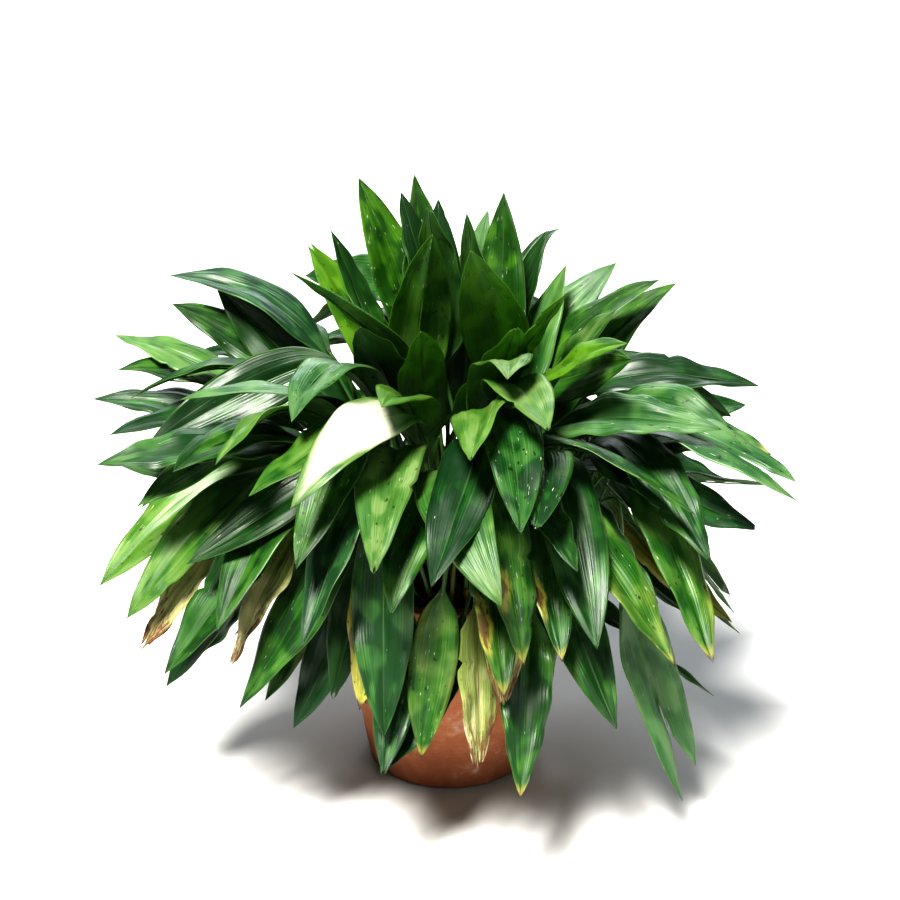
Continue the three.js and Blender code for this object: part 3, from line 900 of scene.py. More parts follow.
class Course:
    """A smooth line through points, by cubic pieces."""

    def __init__(self, stops: Sequence[float], points: Sequence[Vector]) -> None:
        """Works out the slope at each point.

        Args:
            stops: The parameter of each point, rising.
            points: The points.
        """
        self.stops = list(stops)
        self.points = [Vector(p) for p in points]
        last = len(points) - 1
        self.slopes = []
        for i in range(len(points)):
            a, b = max(i - 1, 0), min(i + 1, last)
            self.slopes.append((self.points[b] - self.points[a]) / (self.stops[b] - self.stops[a]))

    def at(self, stop: float) -> Vector:
        """Finds a point of the line.

        Args:
            stop: Its parameter.

        Returns:
            The point.
        """
        i = 0
        while i < len(self.stops) - 2 and stop > self.stops[i + 1]:
            i += 1
        gap = self.stops[i + 1] - self.stops[i]
        t = (stop - self.stops[i]) / gap
        square, cube = t * t, t * t * t
        return (
            self.points[i] * (2 * cube - 3 * square + 1)
            + self.slopes[i] * (gap * (cube - 2 * square + t))
            + self.points[i + 1] * (3 * square - 2 * cube)
            + self.slopes[i + 1] * (gap * (cube - square))
        )


class Kind(Enum):
    """The state of a leaf."""

    GREEN = "green"
    DRY = "dry"


@dataclass
class Habit:
    """What is particular to one leaf."""

    kind: Kind
    seed: float  # where its noises start
    age: float  # how far it has turned yellow
    tone: float  # how light it is: partly its own colour, and on the leaves in front partly painted sun and shade
    scorch: float  # how far its tip has dried
    arch: float  # how high each half arches, as a share of its width
    pleat: float  # how deep its pleats are, in metres
    ripple: float  # how far its margins wave, in metres
    ripple_count: float
    phase: float  # where on a wave its margins start, in radians
    split: float  # how far back the tip has split, as a share of the blade
    gap: float  # how far the two points of a split tip stand apart, in metres
    blunt: float  # how much of the tip has broken off, as a share of the blade
    bleach: float = 0.0  # how far it is whitened: partly sun bleaching and partly painted sun glare
    spots: float = 0.3  # how many specks and scars it has
    blotch: float = 0.0  # how large a brown patch it has
    cool: float = 0.3  # how blue its green is: partly its own blue and partly a painted bluish sky reflection
    warm: float = 0.0  # how yellow its green is: partly its own yellow and partly a painted glow of light coming through
    nicks: list[tuple[float, float, float]] = field(default_factory=list)

    @staticmethod
    def drawn(draw: Random, kind: Kind, height: float) -> "Habit":
        """Draws a leaf's habit.

        Args:
            draw: The leaf's own random numbers.
            kind: What state it is in.
            height: The height of its end, since low leaves are older.

        Returns:
            The habit.
        """
        dry = kind is Kind.DRY
        low = max(0.0, min(1.0, (0.45 - height) / 0.35))
        old = draw.random() < 0.05 + 0.22 * low
        age = draw.uniform(*((0.35, 0.75) if dry else (0.22, 0.5) if old else (0.0, 0.14)))
        nicks = []
        for _ in range(draw.randint(1, 3) if dry else draw.choice((0, 0, 0, 0, 1, 2))):
            depth = draw.uniform(*((0.12, 0.45) if dry else (0.06, 0.28)))
            nicks.append((draw.choice((-1.0, 1.0)), draw.uniform(0.15, 0.95), depth))
        return Habit(
            kind=kind,
            seed=draw.uniform(0.0, 60.0),
            age=age,
            tone=draw.uniform(*((0.2, 0.8) if dry else (0.0, 0.75))),
            scorch=draw.uniform(0.08, 0.4) if draw.random() < 0.10 + 0.3 * low else 0.0,
            arch=draw.uniform(*((0.10, 0.18) if dry else (0.05, 0.13))),
            pleat=0.0009 if dry else draw.uniform(0.0003, 0.0007),
            ripple=0.0030 if dry else draw.uniform(0.0008, 0.0042),
            ripple_count=draw.uniform(*((3.0, 6.0) if dry else (2.0, 5.0))),
            phase=draw.uniform(0.0, math.tau),
            split=draw.uniform(0.08, 0.2) if dry else draw.choice((0.0, 0.0, 0.0, 0.0, 0.03, 0.07)),
            gap=draw.uniform(0.002, 0.004),
            blunt=draw.uniform(0.05, 0.14) if dry else draw.choice((0.0,) * 9 + (0.05,)),
            spots=draw.random() ** 3,
            cool=draw.uniform(0.0, 0.8),
            warm=draw.uniform(0.0, 0.5),
            nicks=nicks,
        )


class Look(Enum):
    """The looks of the leaves in front, as changes to the habit that a leaf has drawn. Their tones and casts
    are partly each leaf's own colour and partly painted light: how sunlit or shaded the leaf is, a painted
    bluish sky sheen, and a painted glow of light coming through.
    """

    DARK = {"tone": 0.10, "cool": 0.4}
    GREEN = {"tone": 0.50, "cool": 0.2}
    BLUISH = {"tone": 0.45, "cool": 1.0}
    # painted bluish sky sheen on a lit leaf
    SKY_SHEEN = {"tone": 1.05, "cool": 1.0}
    # painted sunlight and bluish sky sheen
    SUNLIT_SKY_SHEEN = {"tone": 1.15, "cool": 0.9, "spots": 0.3}
    LIGHT = {"tone": 0.95, "cool": 0.1}
    GLOWING = {"tone": 1.00, "cool": 0.0, "warm": 1.0, "spots": 0.7}
    SHADED = {"tone": 0.50, "cool": 0.0, "warm": 0.8, "spots": 0.7}
    PALE = {"tone": 1.30, "cool": 0.2, "age": 0.05, "bleach": 0.1}
    # whitened middle: sun bleaching with painted sun glare
    BLEACHED_AND_GLARE = {"tone": 1.2, "cool": 0.0, "bleach": 0.55}
    SPOTTED = {"tone": 0.55, "cool": 0.5, "spots": 0.9}
    BLOTCHED = {"tone": 0.75, "cool": 0.4, "age": 0.12, "scorch": 0.2, "spots": 0.6, "blotch": 0.8}
    TURNING = {"tone": 0.9, "cool": 0.0, "age": 0.32, "scorch": 0.22, "spots": 0.6, "blotch": 0.3}
    YELLOWING = {"tone": 1.0, "cool": 0.0, "age": 0.52, "scorch": 0.35, "spots": 1.0, "blotch": 0.6}


# The heading in degrees, reach and height in metres of a leaf's end, and its look.
PORTRAITS: tuple[tuple[float, float, float, Look], ...] = (
    (142, 0.170, 0.905, Look.SHADED),
    (134, 0.100, 0.892, Look.DARK),
    (118, 0.110, 0.908, Look.SHADED),
    (-114, 0.070, 0.915, Look.SHADED),
    (106, 0.060, 0.888, Look.DARK),
    (-82, 0.090, 0.900, Look.LIGHT),
    (58, 0.150, 0.876, Look.SHADED),
    (72, 0.180, 0.835, Look.SKY_SHEEN),
    (48, 0.220, 0.806, Look.DARK),
    (40, 0.230, 0.763, Look.SKY_SHEEN),
    (-81, 0.180, 0.882, Look.GLOWING),
    (-105, 0.090, 0.878, Look.GLOWING),
    (-48, 0.240, 0.822, Look.GLOWING),
    (-68, 0.240, 0.800, Look.GLOWING),
    (-96, 0.210, 0.800, Look.GLOWING),
    (-120, 0.240, 0.790, Look.DARK),
    (37, 0.320, 0.744, Look.SKY_SHEEN),
    (-39, 0.290, 0.800, Look.LIGHT),
    (22, 0.370, 0.730, Look.SHADED),
    (25, 0.370, 0.590, Look.DARK),
    (145, 0.260, 0.790, Look.GLOWING),
    (140, 0.240, 0.801, Look.DARK),
    (-142, 0.280, 0.835, Look.LIGHT),
    (163, 0.450, 0.738, Look.BLUISH),
    (159, 0.380, 0.728, Look.DARK),
    (163, 0.440, 0.700, Look.GREEN),
    (-48, 0.350, 0.785, Look.GLOWING),
    (-126, 0.370, 0.700, Look.SKY_SHEEN),
    (-77, 0.360, 0.770, Look.PALE),
    (-74, 0.430, 0.732, Look.PALE),
    (-90, 0.430, 0.706, Look.PALE),
    (-103, 0.380, 0.745, Look.PALE),
    (-82, 0.480, 0.505, Look.LIGHT),
    (-92, 0.460, 0.525, Look.DARK),
    (-102, 0.470, 0.546, Look.PALE),
    (-79, 0.460, 0.592, Look.SPOTTED),
    (-50, 0.470, 0.554, Look.SPOTTED),
    (-65, 0.460, 0.565, Look.BLUISH),
    (-115, 0.480, 0.590, Look.BLEACHED_AND_GLARE),
    (-128, 0.470, 0.660, Look.PALE),
    (-115, 0.460, 0.515, Look.GREEN),
    (-97, 0.420, 0.490, Look.GREEN),
    (-125, 0.460, 0.597, Look.LIGHT),
    (-135, 0.500, 0.636, Look.GREEN),
    (169, 0.510, 0.662, Look.SKY_SHEEN),
    (180, 0.490, 0.640, Look.GREEN),
    (-150, 0.430, 0.700, Look.SKY_SHEEN),
    (178, 0.530, 0.590, Look.BLUISH),
    (-155, 0.535, 0.625, Look.BLUISH),
    (-164, 0.500, 0.600, Look.DARK),
    (21, 0.500, 0.513, Look.BLUISH),
    (-25, 0.490, 0.600, Look.BLOTCHED),
    (-36, 0.450, 0.660, Look.SKY_SHEEN),
    (-157, 0.540, 0.392, Look.PALE),
    (-151, 0.520, 0.368, Look.LIGHT),
    (-143, 0.500, 0.306, Look.GREEN),
    (-131, 0.480, 0.408, Look.GREEN),
    (-115, 0.460, 0.423, Look.BLUISH),
    (-133, 0.430, 0.254, Look.GREEN),
    (-120, 0.340, 0.259, Look.DARK),
    (-111, 0.380, 0.294, Look.YELLOWING),
    (-103, 0.400, 0.258, Look.BLUISH),
    (-95, 0.370, 0.210, Look.TURNING),
    (-69, 0.350, 0.244, Look.TURNING),
    (-74, 0.430, 0.410, Look.BLOTCHED),
    (-64, 0.450, 0.409, Look.BLUISH),
    (-44, 0.500, 0.352, Look.TURNING),
    (-49, 0.470, 0.370, Look.TURNING),
    (-43, 0.480, 0.495, Look.BLUISH),
    (-36, 0.440, 0.080, Look.SUNLIT_SKY_SHEEN),
    (-32, 0.560, 0.580, Look.SKY_SHEEN),
)
PORTRAIT_REACH = 0.085  # a portrait is of a leaf that ends nearer to its place than this
UNMARKED = {"age": 0.0, "scorch": 0.0}  # what a look leaves out of the marks of age


def portrait_habit(habit: Habit, course: LeafCourse) -> Habit:
    """Gives a leaf in front its own look.

    Args:
        habit: The habit that the leaf has drawn.
        course: Its course, which says where it ends.

    Returns:
        The habit with the changes of the nearest portrait, if one is near enough.
    """
    nearest = PORTRAIT_REACH
    chosen: Optional[Look] = None
    for heading, reach, height, look in PORTRAITS:
        turn = math.radians(heading)
        end = Vector((reach * math.cos(turn), reach * math.sin(turn), height))
        apart = (course.end - end).length
        if apart < nearest:
            nearest, chosen = apart, look
    return replace(habit, **{**UNMARKED, **chosen.value}) if chosen else habit


@dataclass(frozen=True)
class Tear:
    """How a torn blade parts into two points. Its shares are of the blade's length."""

    cut: float = 0.63  # where its grid is cut open
    start: float = 0.66  # where its slit begins to gape
    neck: float = 0.80  # where its two points begin
    notch: float = 0.12  # how far its two points stay together, as a share of their length
    gap: float = 0.0035  # how far each half stands off the slit, in metres
    curl: float = 1.7  # how soon the points' inner edges bend apart
    belly: float = 0.45  # how far the outer edges run on before they bend in, as a share of the points

    def slit(self, reach: float) -> float:
        """How far each half stands off the slit at a reach, in metres."""
        return min(1.0, max(0.0, (reach - self.start) / (self.neck - self.start))) * self.gap


TEAR = Tear()


@dataclass
class LeafForm:
    """The course of a leaf as smooth lines, and its habit."""

    course: LeafCourse
    habit: Habit
    blade_ring: int = 3  # the ring where the blade begins
    pleat_count: float = 3.5
    lift: float = 0.0042  # how far a blade's face rises and falls
    dry_lift: float = 0.0025  # how much more of it a dried blade has
    nick_reach: float = 0.022  # how far a nick runs to either side, as a share of the blade

    def __post_init__(self) -> None:
        """Lays smooth lines through the rings, from the stalk's foot to the leaf's end."""
        rings = self.course.rings
        self.whole = self.course.tip is not None
        body = rings if self.whole else rings[:-1]
        stops = [0.0]
        centres = [ring.centre for ring in body]
        for before, after in zip(centres, centres[1:]):
            stops.append(stops[-1] + (after - before).length)
        lefts = [ring.left - ring.centre for ring in body]
        rights = [ring.right - ring.centre for ring in body]
        normals = [(ring.top - ring.bottom).normalized() for ring in body]
        if self.whole:
            stops.append(stops[-1] + (self.course.tip - centres[-1]).length)
            centres.append(self.course.tip)
            lefts.append(lefts[-1] * 0.0)
            rights.append(rights[-1] * 0.0)
            normals.append(normals[-1])
        self.start = stops[self.blade_ring]
        self.end = stops[-1]
        self.centre = Course(stops, centres)
        self.left = Course(stops, lefts)
        self.right = Course(stops, rights)
        self.normal = Course(stops, normals)
        self.half_width = max(max(v.length for v in lefts), max(v.length for v in rights))

    def up(self, stop: float) -> Vector:
        """The direction out of the upper face at a length along the leaf."""
        return self.normal.at(stop).normalized()

    def blade_point(self, reach: float, across: float, side: float) -> Vector:
        """A point of the blade's upper face.

        Args:
            reach: How far along the blade, from 0 to 1.
            across: How far to the left (-1) or right (1) margin.
            side: Which half it belongs to, -1 or 1, which matters on a split.

        Returns:
            The point.
        """
        if not self.whole:
            return self._torn_point(reach, across, side)
        habit = self.habit
        length = self.end - self.start
        stop = self.start + length * reach * (1.0 - habit.blunt * self._fray(across))
        share = (stop - self.start) / length
        margin = (self.left if side < 0 else self.right).at(stop)
        out = abs(across)
        width = margin.length * self._nick(side, share)
        lean = margin.normalized() if margin.length > 1e-6 else Vector()
        point = self.centre.at(stop) + lean * (width * out)
        if habit.split > 0.0 and share > 1.0 - habit.split:
            opened = ((share - 1.0 + habit.split) / habit.split) ** 2
            sideways = self.right.at(stop) - self.left.at(stop)
            if sideways.length > 1e-6:
                point += sideways.normalized() * (side * habit.gap * opened)
        return point + self.up(stop) * self._relief(share, side, out, width)

    def _fray(self, across: float) -> float:
        """Breaks a blunt tip off unevenly.

        Args:
            across: The place across the tip, from -1 to 1.

        Returns:
            How many times the usual share is missing there.
        """
        if self.habit.blunt == 0.0:
            return 0.0
        return 0.75 + 0.5 * noise.noise(Vector((across * 4.0, self.habit.seed, 0.0)))

    def _nick(self, side: float, share: float) -> float:
        """Wears and nicks a margin.

        Args:
            side: Which margin, -1 or 1.
            share: The place along the blade.

        Returns:
            How much of the width is left there.
        """
        left = 1.0 + 0.012 * noise.noise(Vector((share * 40.0, side * 5.0, self.habit.seed)))
        for nick_side, place, depth in self.habit.nicks:
            if nick_side == side:
                left -= depth * max(0.0, 1.0 - abs(share - place) / self.nick_reach)
        return left

    def _relief(self, share: float, side: float, out: float, width: float) -> float:
        """Arches, pleats and waves one half of the blade.

        Args:
            share: The place along the blade.
            side: Which half, -1 or 1.
            out: The place from the rib (0) to the margin (1).
            width: The half's width there.

        Returns:
            How far the upper face stands above the straight line from rib to margin.
        """
        habit = self.habit
        calm = min(1.0, 5.0 * share) * min(1.0, 4.0 * (1.0 - share))
        arch = habit.arch * width * 4.0 * (out - out * out)
        pleat = habit.pleat * calm * math.cos(math.tau * self.pleat_count * out)
        turn = math.tau * habit.ripple_count * share + habit.phase + side
        ripple = habit.ripple * calm * out * out * math.sin(turn)
        lift = self.lift * calm * noise.noise(Vector((share * 5.0, side * out * 2.0, habit.seed)))
        if habit.kind is Kind.DRY:
            crumple = noise.noise(Vector((share * 9.0, side * out * 3.0, habit.seed)))
            lift += self.dry_lift * calm * crumple
        return arch + pleat + ripple + lift

    def _torn_point(self, reach: float, across: float, side: float) -> Vector:
        """Finds a point of a blade whose end has torn into two points.

        Args:
            reach: How far along the blade, from 0 to 1.
            across: How far to the left (-1) or right (1) margin.
            side: Which half it belongs to, -1 or 1.

        Returns:
            The point.
        """
        before, last = self.course.rings[-2], self.course.rings[-1]
        out = abs(across)
        slit = TEAR.slit(reach) * (1.0 - out)
        parted = (before.right - before.left).normalized() * (side * slit)
        if reach <= TEAR.neck:
            stop = self.start + (self.end - self.start) * reach / TEAR.neck
            margin = (self.left if side < 0 else self.right).at(stop)
            width = margin.length * self._nick(side, reach)
            point = self.centre.at(stop) + margin.normalized() * (width * out)
            return point + parted + self.up(stop) * self._relief(reach, side, out, width)
        along = (reach - TEAR.neck) / (1.0 - TEAR.neck)
        end = last.left if side < 0 else last.right
        edge = before.left if side < 0 else before.right
        inner = self._between(before.centre, last.centre, along / TEAR.notch)
        if along >= TEAR.notch:
            opened = 1.0 - (1.0 - (along - TEAR.notch) / (1.0 - TEAR.notch)) ** TEAR.curl
            inner = self._between(last.centre, end, opened)
        ahead = (before.centre - self.course.rings[-3].centre).normalized()
        belly = edge + ahead * ((end - edge).length * TEAR.belly)
        one, two = self._between(edge, belly, along), self._between(belly, end, along)
        outer = self._between(one, two, along)
        lift = self._relief(TEAR.neck, side, out, (outer - inner).length) * (1.0 - along)
        return self._between(inner, outer, out) + parted * (1.0 - along) + self.up(self.end) * lift

    @staticmethod
    def _between(first: Vector, second: Vector, share: float) -> Vector:
        """The point a share of the way from one to another."""
        return first.lerp(second, max(0.0, min(1.0, share)))


def once(items: Iterable[Any]) -> list[Any]:
    """Takes each item once, in the order in which they come, which is the same on each run."""
    return list(dict.fromkeys(items))


class LeafGrower:
    """Grows fine leaves into one mesh."""

    BLADE_COLUMNS = 22
    BLADE_ROWS = 44
    BLADE_THICKNESS = 0.0007
    BLADE_MERGE = 2e-5  # the rows close up at the tip, so points this near are one
    TIP_ROWS = 0.06  # how much closer the rows stand towards the tip
    ON_RIB = 1e-4  # how near to the flat grid's middle a point lies on the rib

    STALK_SIDES = 8
    STALK_ROWS = 46
    FOOT_LEVEL = 0.290  # where a stalk ends in the soil
    FOOT_SHARE = 0.05  # the share of the stalk's rows that go down into the soil
    STALK_THICK = 0.0031  # half of its thickness at the foot
    STALK_THINNER = 0.0006  # how much less it is at the blade
    STALK_WIDER = 1.15  # its width against its thickness
    GROOVE = 0.30  # how deep its groove is, as a share of its thickness
    GROOVE_START = 0.05  # how far up the groove is at its full depth
    GROOVE_FADE = 10.0  # the groove runs out over a tenth of the blade
    KEEL_AT_BASE = 0.0024
    KEEL_AT_TIP = 0.0005
    KEEL_WIDER = 1.1
    KEEL_FADE = 12.0  # the keel sinks under the blade over a twelfth of it
    KEEL_SUNK = 0.62  # how far the keel lies under the blade's face, as a share of its thickness
    KEEL_END = 0.97  # where it ends, as a share of a whole blade
    LOOK_AHEAD = 0.004  # how far the stalk's direction is read to either side
    PALE_UNDER = 0.35  # how much of the underside's colour the stalk has
    STREAK_SPREAD = 0.35  # how far round the stalk the streaks of the blade turn
    LEAST_HALF_WIDTH = 0.01

    def __init__(self) -> None:
        """Starts an empty mesh with its attributes."""
        self.bm = bmesh.new()
        layers = self.bm.verts.layers.float_vector
        self.place = layers.new("blade_place")
        self.form = layers.new("blade_form")
        self.mood = layers.new("blade_mood")
        self.marks = layers.new("blade_marks")
        self.cast = layers.new("blade_cast")

    def grow(self, leaf: LeafForm) -> None:
        """Adds a leaf's blade and its stalk."""
        self._blade(leaf)
        self._stalk(leaf)

    def _mark(self, vert: BMVert, leaf: LeafForm, across: float, reach: float, under: float) -> None:
        """Writes a vertex's place on its leaf into the attributes.

        Args:
            vert: The vertex.
            leaf: Its leaf.
            across: Its place from the left (-1) to the right (1) margin.
            reach: Its place along the blade.
            under: How much of the underside's colour it has.
        """
        habit = leaf.habit
        along = reach * (leaf.end - leaf.start)
        vert[self.place] = Vector((across * leaf.half_width, along, habit.seed))
        vert[self.form] = Vector((abs(across), reach, under))
        vert[self.mood] = Vector((habit.age, habit.tone, habit.scorch))
        vert[self.marks] = Vector((habit.bleach, habit.spots, habit.blotch))
        vert[self.cast] = Vector((habit.cool, habit.warm, 0.0))

    def _blade(self, leaf: LeafForm) -> None:
        """Adds a blade: a flat grid that is slit open, laid on the leaf's form and given its thickness.

        Args:
            leaf: The leaf.
        """
        columns, rows = self.BLADE_COLUMNS, self.BLADE_ROWS
        grid = bmesh.ops.create_grid(self.bm, x_segments=columns, y_segments=rows, size=0.5)
        verts: list[BMVert] = grid["verts"]
        slit = 1.0 - leaf.habit.split if leaf.whole else TEAR.cut
        edges = once(e for v in verts for e in v.link_edges if self._on_slit(e, slit))
        if edges:
            parted = bmesh.ops.split_edges(self.bm, edges=edges)
            verts = once([*verts, *(v for e in parted["edges"] for v in e.verts)])
        faces = once(f for v in verts for f in v.link_faces)
        spots = {vert: (vert.co.x * 2.0, vert.co.y + 0.5, self._side(vert)) for vert in verts}
        for vert, (across, reach, side) in spots.items():
            eased = min(1.0, reach + self.TIP_ROWS * math.sin(math.pi * reach) * reach)
            vert.co = leaf.blade_point(eased, across, side)
            self._mark(vert, leaf, across, eased, 0.0)
        bmesh.ops.remove_doubles(self.bm, verts=verts, dist=self.BLADE_MERGE)
        faces = [f for f in faces if f.is_valid]
        bmesh.ops.recalc_face_normals(self.bm, faces=faces)
        middle = (leaf.start + leaf.end) / 2.0
        sample = min(faces, key=lambda f: (f.calc_center_median() - leaf.centre.at(middle)).length)
        if sample.normal.dot(leaf.up(middle)) < 0:
            bmesh.ops.reverse_faces(self.bm, faces=faces)
        before = set(self.bm.verts)
        bmesh.ops.solidify(self.bm, geom=faces, thickness=self.BLADE_THICKNESS)
        for vert in self.bm.verts:
            if vert not in before:
                vert[self.form].z = 1.0

    def _on_slit(self, edge: BMEdge, slit: float) -> bool:
        """Whether an edge of the flat grid lies on its middle line past where the slit begins.

        Args:
            edge: The edge.
            slit: Where the slit begins, as a share of the blade.

        Returns:
            Whether the slit runs along it.
        """
        first, second = (v.co for v in edge.verts)
        straight = abs(first.x) < self.ON_RIB and abs(second.x) < self.ON_RIB
        return straight and min(first.y, second.y) + 0.5 > slit - self.ON_RIB

    def _side(self, vert: BMVert) -> float:
        """Tells which half of the flat grid a vertex belongs to.

        Args:
            vert: The vertex, before it is moved.

        Returns:
            -1 for the left half and 1 for the right. On the rib its faces decide.
        """
        across = vert.co.x * 2.0
        if abs(across) > self.ON_RIB:
            return math.copysign(1.0, across)
        middle = sum(f.calc_center_median().x for f in vert.link_faces) / len(vert.link_faces)
        return -1.0 if middle < 0 else 1.0

    def _stalk(self, leaf: LeafForm) -> None:
        """Adds a stalk, which runs on under the blade as its keel.

        Args:
            leaf: The leaf.
        """
        sides, rows = self.STALK_SIDES, self.STALK_ROWS
        grid = bmesh.ops.create_grid(self.bm, x_segments=sides, y_segments=rows, size=0.5)
        verts: list[BMVert] = grid["verts"]
        for vert in verts:
            turn, share = (vert.co.x + 0.5) * math.tau, vert.co.y + 0.5
            self._stalk_vertex(vert, leaf, turn, share)
        faces = once(f for v in verts for f in v.link_faces)
        bmesh.ops.remove_doubles(self.bm, verts=verts, dist=SAME_POINT)
        faces = [f for f in faces if f.is_valid]
        rims = once(e for f in faces for e in f.edges if e.is_boundary)
        caps = bmesh.ops.holes_fill(self.bm, edges=rims, sides=sides + 1)
        bmesh.ops.recalc_face_normals(self.bm, faces=faces + caps["faces"])

    def _stalk_vertex(self, vert: BMVert, leaf: LeafForm, turn: float, share: float) -> None:
        """Places one vertex of the stalk.

        Args:
            vert: The vertex.
            leaf: The leaf.
            turn: Its angle round the stalk.
            share: How far along the stalk and keel it is, from 0 to 1.
        """
        length = leaf.end - leaf.start
        if share < self.FOOT_SHARE:
            stop = 0.0
            drop = (ROOT_LEVEL - self.FOOT_LEVEL) * (1.0 - share / self.FOOT_SHARE)
            centre = leaf.course.rings[0].centre - UP * drop
        else:
            upward = (share - self.FOOT_SHARE) / (1.0 - self.FOOT_SHARE)
            stop = upward * (leaf.start + length * (self.KEEL_END if leaf.whole else 1.0))
            centre = leaf.centre.at(stop)
        behind = leaf.centre.at(max(stop - self.LOOK_AHEAD, 0.0))
        ahead = (leaf.centre.at(min(stop + self.LOOK_AHEAD, leaf.end)) - behind).normalized()
        side = ahead.cross(leaf.up(stop)).normalized()
        up = side.cross(ahead).normalized()
        blade = max(0.0, (stop - leaf.start) / length)
        if blade <= 0.0:
            thick = self.STALK_THICK - self.STALK_THINNER * stop / leaf.start
            wide = thick * self.STALK_WIDER
            sunk = 0.0
            groove = self.GROOVE * min(1.0, stop / self.GROOVE_START)
        else:
            thick = self.KEEL_AT_BASE * (1.0 - blade) + self.KEEL_AT_TIP * blade
            wide = thick * self.KEEL_WIDER
            sunk = thick * min(1.0, blade * self.KEEL_FADE) * self.KEEL_SUNK
            groove = self.GROOVE * max(0.0, 1.0 - blade * self.GROOVE_FADE)
        pull = 1.0 - groove * max(0.0, math.sin(turn)) ** 3
        offset = side * (math.cos(turn) * wide) + up * (math.sin(turn) * thick * pull)
        vert.co = centre + offset - up * sunk
        half = max(leaf.half_width, self.LEAST_HALF_WIDTH)
        across = self.STREAK_SPREAD * math.cos(turn) * wide / half
        self._mark(vert, leaf, across, blade, self.PALE_UNDER)


# ------------------------------------------------------------ turning and placing


def turned(points: Sequence[tuple[float, float]], steps: int) -> BMesh:
    """Turns a profile round the vertical axis.

    Args:
        points: The radius and height of its points, from the axis back to the axis.
        steps: How many steps the full turn has.

    Returns:
        The closed mesh, with its faces outwards.
    """
    bm = bmesh.new()
    verts = [bm.verts.new((radius, 0.0, height)) for radius, height in points]
    edges = [bm.edges.new(pair) for pair in zip(verts, verts[1:])]
    bmesh.ops.spin(
        bm,
        geom=verts + edges,
        cent=(0.0, 0.0, 0.0),
        axis=UP,
        angle=math.tau,
        steps=steps,
        use_merge=True,
    )
    bmesh.ops.remove_doubles(bm, verts=bm.verts, dist=SAME_PROFILE_POINT)
    bmesh.ops.recalc_face_normals(bm, faces=bm.faces)
    return bm


def placed(name: str, data: Any) -> bpy.types.Object:
    """Adds an object to the scene, at the origin.

    Args:
        name: Its name.
        data: Its mesh, lamp or camera.

    Returns:
        The object.
    """
    made = bpy.data.objects.new(name, data)
    bpy.context.scene.collection.objects.link(made)
    return made


def as_piece(bm: BMesh, name: str, material: bpy.types.Material) -> bpy.types.Object:
    """Makes a smooth object of a mesh.

    Args:
        bm: The mesh, which is freed.
        name: The object's name.
        material: Its finish.

    Returns:
        The object.
    """
    mesh = bpy.data.meshes.new(name)
    for face in bm.faces:
        face.smooth = True
    bm.to_mesh(mesh)
    bm.free()
    mesh.materials.append(material)
    return placed(name, mesh)


# -------------------------------------------------------------- sub-assemblies


@dataclass
class Foliage:
    """All leaves, green and dry, one piece to each CAD node."""

    green: LeafFinish = LeafFinish()
    straw: StrawFinish = StrawFinish()
    forms: list[LeafForm] = field(default_factory=list)

    def build(self) -> list[bpy.types.Object]:
        """Grows every shoot and dry leaf.

        Returns:
            The pieces.
        """
        green, straw = self.green.material(), self.straw.material()
        pieces = []
        for name in sorted(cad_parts):
            if name.startswith("shoot_"):
                pieces.append(self._shoot(name, Kind.GREEN, green))
            elif name.startswith("dry_leaf_"):
                pieces.append(self._shoot(name, Kind.DRY, straw))
        log.info("%d leaves in %d pieces", len(self.forms), len(pieces))
        return pieces

    def _shoot(self, name: str, kind: Kind, material: bpy.types.Material) -> bpy.types.Object:
        """Grows the leaves of one node.

        Args:
            name: The CAD node.
            kind: The state of its leaves.
            material: Their finish.

        Returns:
            The piece.
        """
        grower = LeafGrower()
        for i, course in enumerate(LeafReader(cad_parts[name]).leaves()):
            habit = Habit.drawn(Random(f"{name}/{i}"), kind, course.end.z)
            if kind is Kind.GREEN:
                habit = portrait_habit(habit, course)
            form = LeafForm(course, habit)
            self.forms.append(form)
            grower.grow(form)
        piece = as_piece(grower.bm, f"{name}_leaves", material)
        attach(piece, "root")
        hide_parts(name)
        return piece


